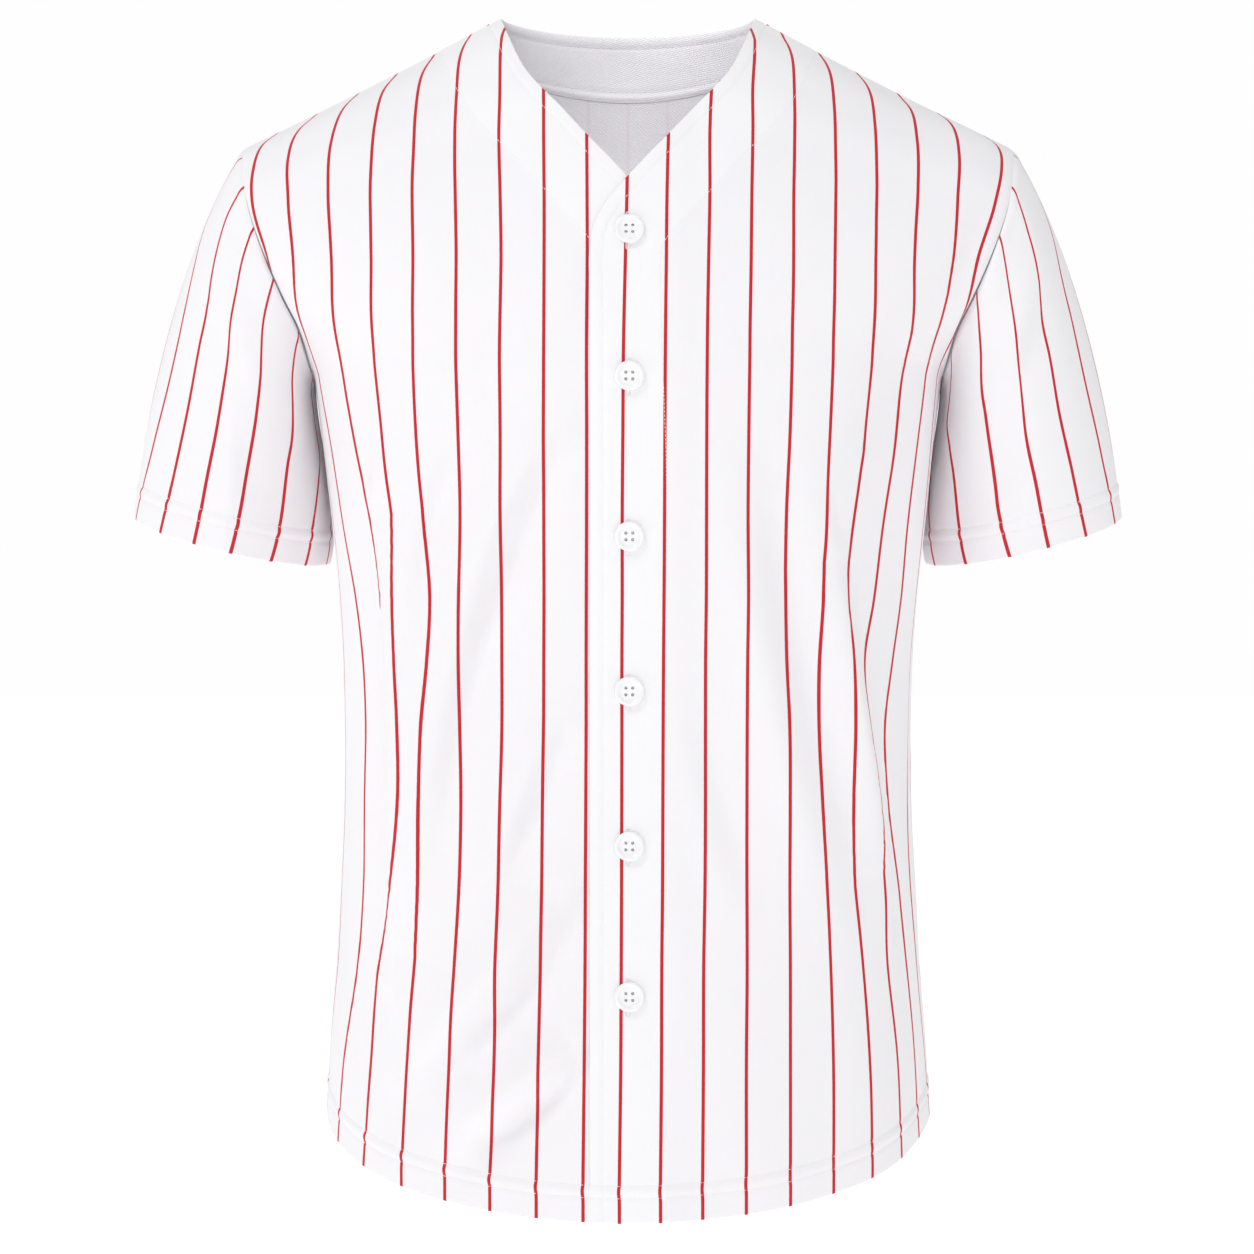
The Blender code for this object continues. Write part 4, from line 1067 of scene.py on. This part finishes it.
def sew(name, rows, **sizes):
    """Stitches along rows of points. A row holds points and normals, and which way its stitches lie if
    that isn't along the row."""
    points, edges, facing, lie = [], [], [], []
    for row in rows:
        edges += [(len(points) + i, len(points) + i + 1) for i in range(len(row) - 1)]
        points += row[:, :3].tolist()
        facing.append(row[:, 3:6])
        lie.append(row[:, 6:9] if row.shape[1] > 6 else unit(np.gradient(row[:, :3], axis=0)))
    mesh = bpy.data.meshes.new(name)
    mesh.from_pydata(points, edges, [])
    for label, vectors in (("facing", facing), ("lie", lie)):
        layer = mesh.attributes.new(label, "FLOAT_VECTOR", "POINT")
        layer.data.foreach_set("vector", np.concatenate(vectors).ravel())
    piece = new_object(name, mesh)
    sewing = piece.modifiers.new("sewing", "NODES")
    sewing.node_group = stitch_rows
    for item in stitch_rows.interface.items_tree:
        if item.in_out == "INPUT" and item.name in sizes:
            sewing[item.identifier] = sizes[item.name]
        if item.name == "Thread":
            sewing[item.identifier] = white_thread
    done = piece.evaluated_get(bpy.context.evaluated_depsgraph_get())
    stitched = bpy.data.meshes.new_from_object(done)
    piece.modifiers.clear()
    piece.data = stitched
    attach(piece, "root")
    return piece


BACK_NECK_ROW = 0.0080


def hem_rows(panel):
    """Both rows of a hem, whether its distances grow or shrink along the grid's columns."""
    order = 1 if panel["from_hem"][0, 0] < panel["from_hem"][-1, 0] else -1
    turned = {part: panel[part][::order] for part in ("face", "normals")}
    return [row_at(turned, panel["from_hem"][::order], level, across_rows=True)
            for level in (HEM_LOWER_ROW, HEM_DEPTH)]


def front_rows(panel):
    return hem_rows(panel) + [row_at(panel, panel["from_edge"], EDGE_ROW),
                              row_at(panel, panel["facing_place"], FACING_DEPTH)]


def back_rows(panel):
    """Both rows of the hem and two round the neck, read down from its edge in the columns that end on it."""
    columns = panel["neck"]
    down = {part: panel[part][::-1, columns] for part in ("face", "normals")}
    return hem_rows(panel) + [row_at(down, panel["from_neck"][::-1, columns], level, across_rows=True)
                              for level in (BACK_NECK_ROW, FACING_DEPTH)]


sewn = {
    "front_right": sew("front_right_stitches", front_rows(front_right)),
    "front_left": sew("front_left_stitches", front_rows(front_left)),
    "back": sew("back_stitches", back_rows(back)),
    "facing": sew("facing_stitches", [row_at(facing, facing["depth"], level, across_rows=True)
                                      for level in (BAND_UPPER_ROW, BAND_LOWER_ROW)]),
    "sleeve_right": sew("sleeve_right_stitches", hem_rows(sleeve_right)),
    "sleeve_left": sew("sleeve_left_stitches", hem_rows(sleeve_left)),
}


# The buttonholes. Upright slots in the left front, each edged with close stitches and barred at its ends.
# A bar shows just above and below each button.
SLOT_ABOVE = 0.0106      # how far a slot reaches above and below its button's middle
SLOT_BELOW = 0.0122
SLOT_HALF_WIDTH = 0.0011
SLOT_STITCHES = 73


def on_face(panel, x, z):
    """Point and normal of a panel's face at x and z, as seen from the front."""
    face, normals = panel["face"], panel["normals"]
    away = np.hypot(face[..., 0] - x, face[..., 2] - z)
    near = np.unravel_index(np.argmin(away), away.shape)
    point, normal = face[near], normals[near]
    y = point[1] - ((x - point[0]) * normal[0] + (z - point[2]) * normal[2]) / normal[1]
    return np.array((x, y, z)), normal


def buttonhole_row(z):
    """Points round a slot with the direction in which each stitch lies, square to the slot."""
    middle, half = z + (SLOT_ABOVE - SLOT_BELOW) / 2, (SLOT_ABOVE + SLOT_BELOW) / 2 - SLOT_HALF_WIDTH
    rounds = []
    for turn in np.linspace(0.0, 2 * math.pi, SLOT_STITCHES):
        out_x, out_z = math.cos(turn), math.sin(turn)
        end = half * math.copysign(1, out_z) if abs(out_z) > 1e-9 else 0.0
        point, normal = on_face(front_left, SLOT_HALF_WIDTH * out_x, middle + end + SLOT_HALF_WIDTH * out_z)
        rounds.append(np.concatenate([point, normal, (out_x, 0.0, out_z)]))
    return np.array(rounds)


buttonholes = sew("buttonholes", [buttonhole_row(z) for z in BUTTON_HEIGHTS],
                  **{"Spacing": 0.00045, "Stitch length": 0.0012, "Thread width": 0.00040})


# The buttons. Round white moulded buttons with a raised rim, a dished middle and four holes, sewn to the
# right front and standing on the left front over their buttonholes.
BUTTON_THICKNESS = 0.0030
HOLE_SPACING = 0.0041
HOLE_RADIUS = 0.00095
# radius, height of the button's outline from the middle of its face round to the middle of its back
BUTTON_OUTLINE = (
    (0.0, 0.00200), (0.0020, 0.00200), (0.0046, 0.00204), (0.0058, 0.00214), (0.0064, 0.00244),
    (0.0068, 0.00280), (0.0073, 0.00298), (0.0080, 0.00300), (0.0085, 0.00286), (0.0089, 0.00248),
    (0.00905, 0.00190), (0.00895, 0.00130), (0.0086, 0.00060), (0.0080, 0.00020), (0.0072, 0.0), (0.0, 0.0),
)


def add_pegs(shape, place, segments, radii, foot, top):
    """An upright peg at each of a button's holes, from foot to top."""
    for across in (-0.5, 0.5):
        for up in (-0.5, 0.5):
            middle = Matrix.Translation((across * HOLE_SPACING, up * HOLE_SPACING, (foot + top) / 2))
            bmesh.ops.create_cone(shape, cap_ends=True, segments=segments, radius1=radii[0],
                                  radius2=radii[1], depth=top - foot, matrix=place @ middle)


def button_shape():
    """The outline turned round, with four holes drilled through it."""
    profile = bpy.data.meshes.new("button_outline")
    profile.from_pydata([(radius, 0.0, height) for radius, height in BUTTON_OUTLINE],
                        [(i, i + 1) for i in range(len(BUTTON_OUTLINE) - 1)], [])
    pattern = new_object("button_pattern", profile)
    turned = pattern.modifiers.new("turned", "SCREW")
    turned.steps = turned.render_steps = 96
    turned.use_merge_vertices = True
    turned.merge_threshold = 0.000005
    turned.use_normal_calculate = True
    drills = bmesh.new()
    add_pegs(drills, Matrix(), 28, (HOLE_RADIUS, HOLE_RADIUS), foot=-0.5 * BUTTON_THICKNESS,
             top=1.5 * BUTTON_THICKNESS)
    drill = new_object("button_drills", mesh_of("button_drills", drills))
    holes = pattern.modifiers.new("holes", "BOOLEAN")
    holes.operation = "DIFFERENCE"
    holes.solver = "EXACT"
    holes.object = drill
    shaped = pattern.evaluated_get(bpy.context.evaluated_depsgraph_get())
    mesh = bpy.data.meshes.new_from_object(shaped)
    bpy.data.objects.remove(pattern)
    bpy.data.objects.remove(drill)
    mesh.shade_smooth()
    mesh.set_sharp_from_angle(angle=math.radians(38))
    return mesh


def button_finish():
    """Glossy white resin with a faint cloud in its colour."""
    resin, shader, start = new_material("button_resin", Roughness=0.28, Coat_Weight=0.25,
                                        Coat_Roughness=0.15, IOR=1.5)
    cloud = start.noise(260.0, 3.0)
    connect(shader, Base_Color=cloud.between((0.895, 0.890, 0.905, 1.0), (0.945, 0.940, 0.950, 1.0)),
            Roughness=0.24 + cloud * 0.12, Normal=cloud.bumps(0.08, 0.0002))
    return resin


BUTTON_GAP = 0.0003
BUTTON_ASIDE = 0.0008    # how far the row of buttons stands from the middle
button_cut = button_shape()
button_resin = button_finish()
button_places = []
for number, z in enumerate(BUTTON_HEIGHTS, start=1):
    point, normal = on_face(front_left, BUTTON_ASIDE, z)
    turn = Vector(normal).to_track_quat("Z", "Y").to_matrix().to_4x4()
    place = Matrix.Translation(Vector(point) + BUTTON_GAP * Vector(normal)) @ turn
    button_places.append(place)
    shape = button_cut.copy()
    shape.transform(place)
    shape.materials.clear()
    shape.materials.append(button_resin)
    button = new_object(f"button_{number}_resin", shape)
    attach(button, "root")
    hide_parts(f"button_{number}")


# The button thread. Each button hangs on four strands that reach from the foot of its holes through the
# buttonhole to the right front.
STRAND_RADIUS, STRAND_FOOT_RADIUS = 0.00080, 0.00060
STRAND_TOP, STRAND_FOOT = 0.0003, -0.0016

strands = bmesh.new()
for place in button_places:
    add_pegs(strands, place, 16, (STRAND_RADIUS, STRAND_FOOT_RADIUS), STRAND_FOOT, STRAND_TOP)
strand_mesh = mesh_of("button_thread", strands)
strand_mesh.shade_smooth()
strand_mesh.set_sharp_from_angle(angle=math.radians(50))
strand_mesh.materials.append(white_thread)
button_thread = new_object("button_thread", strand_mesh)
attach(button_thread, "root")
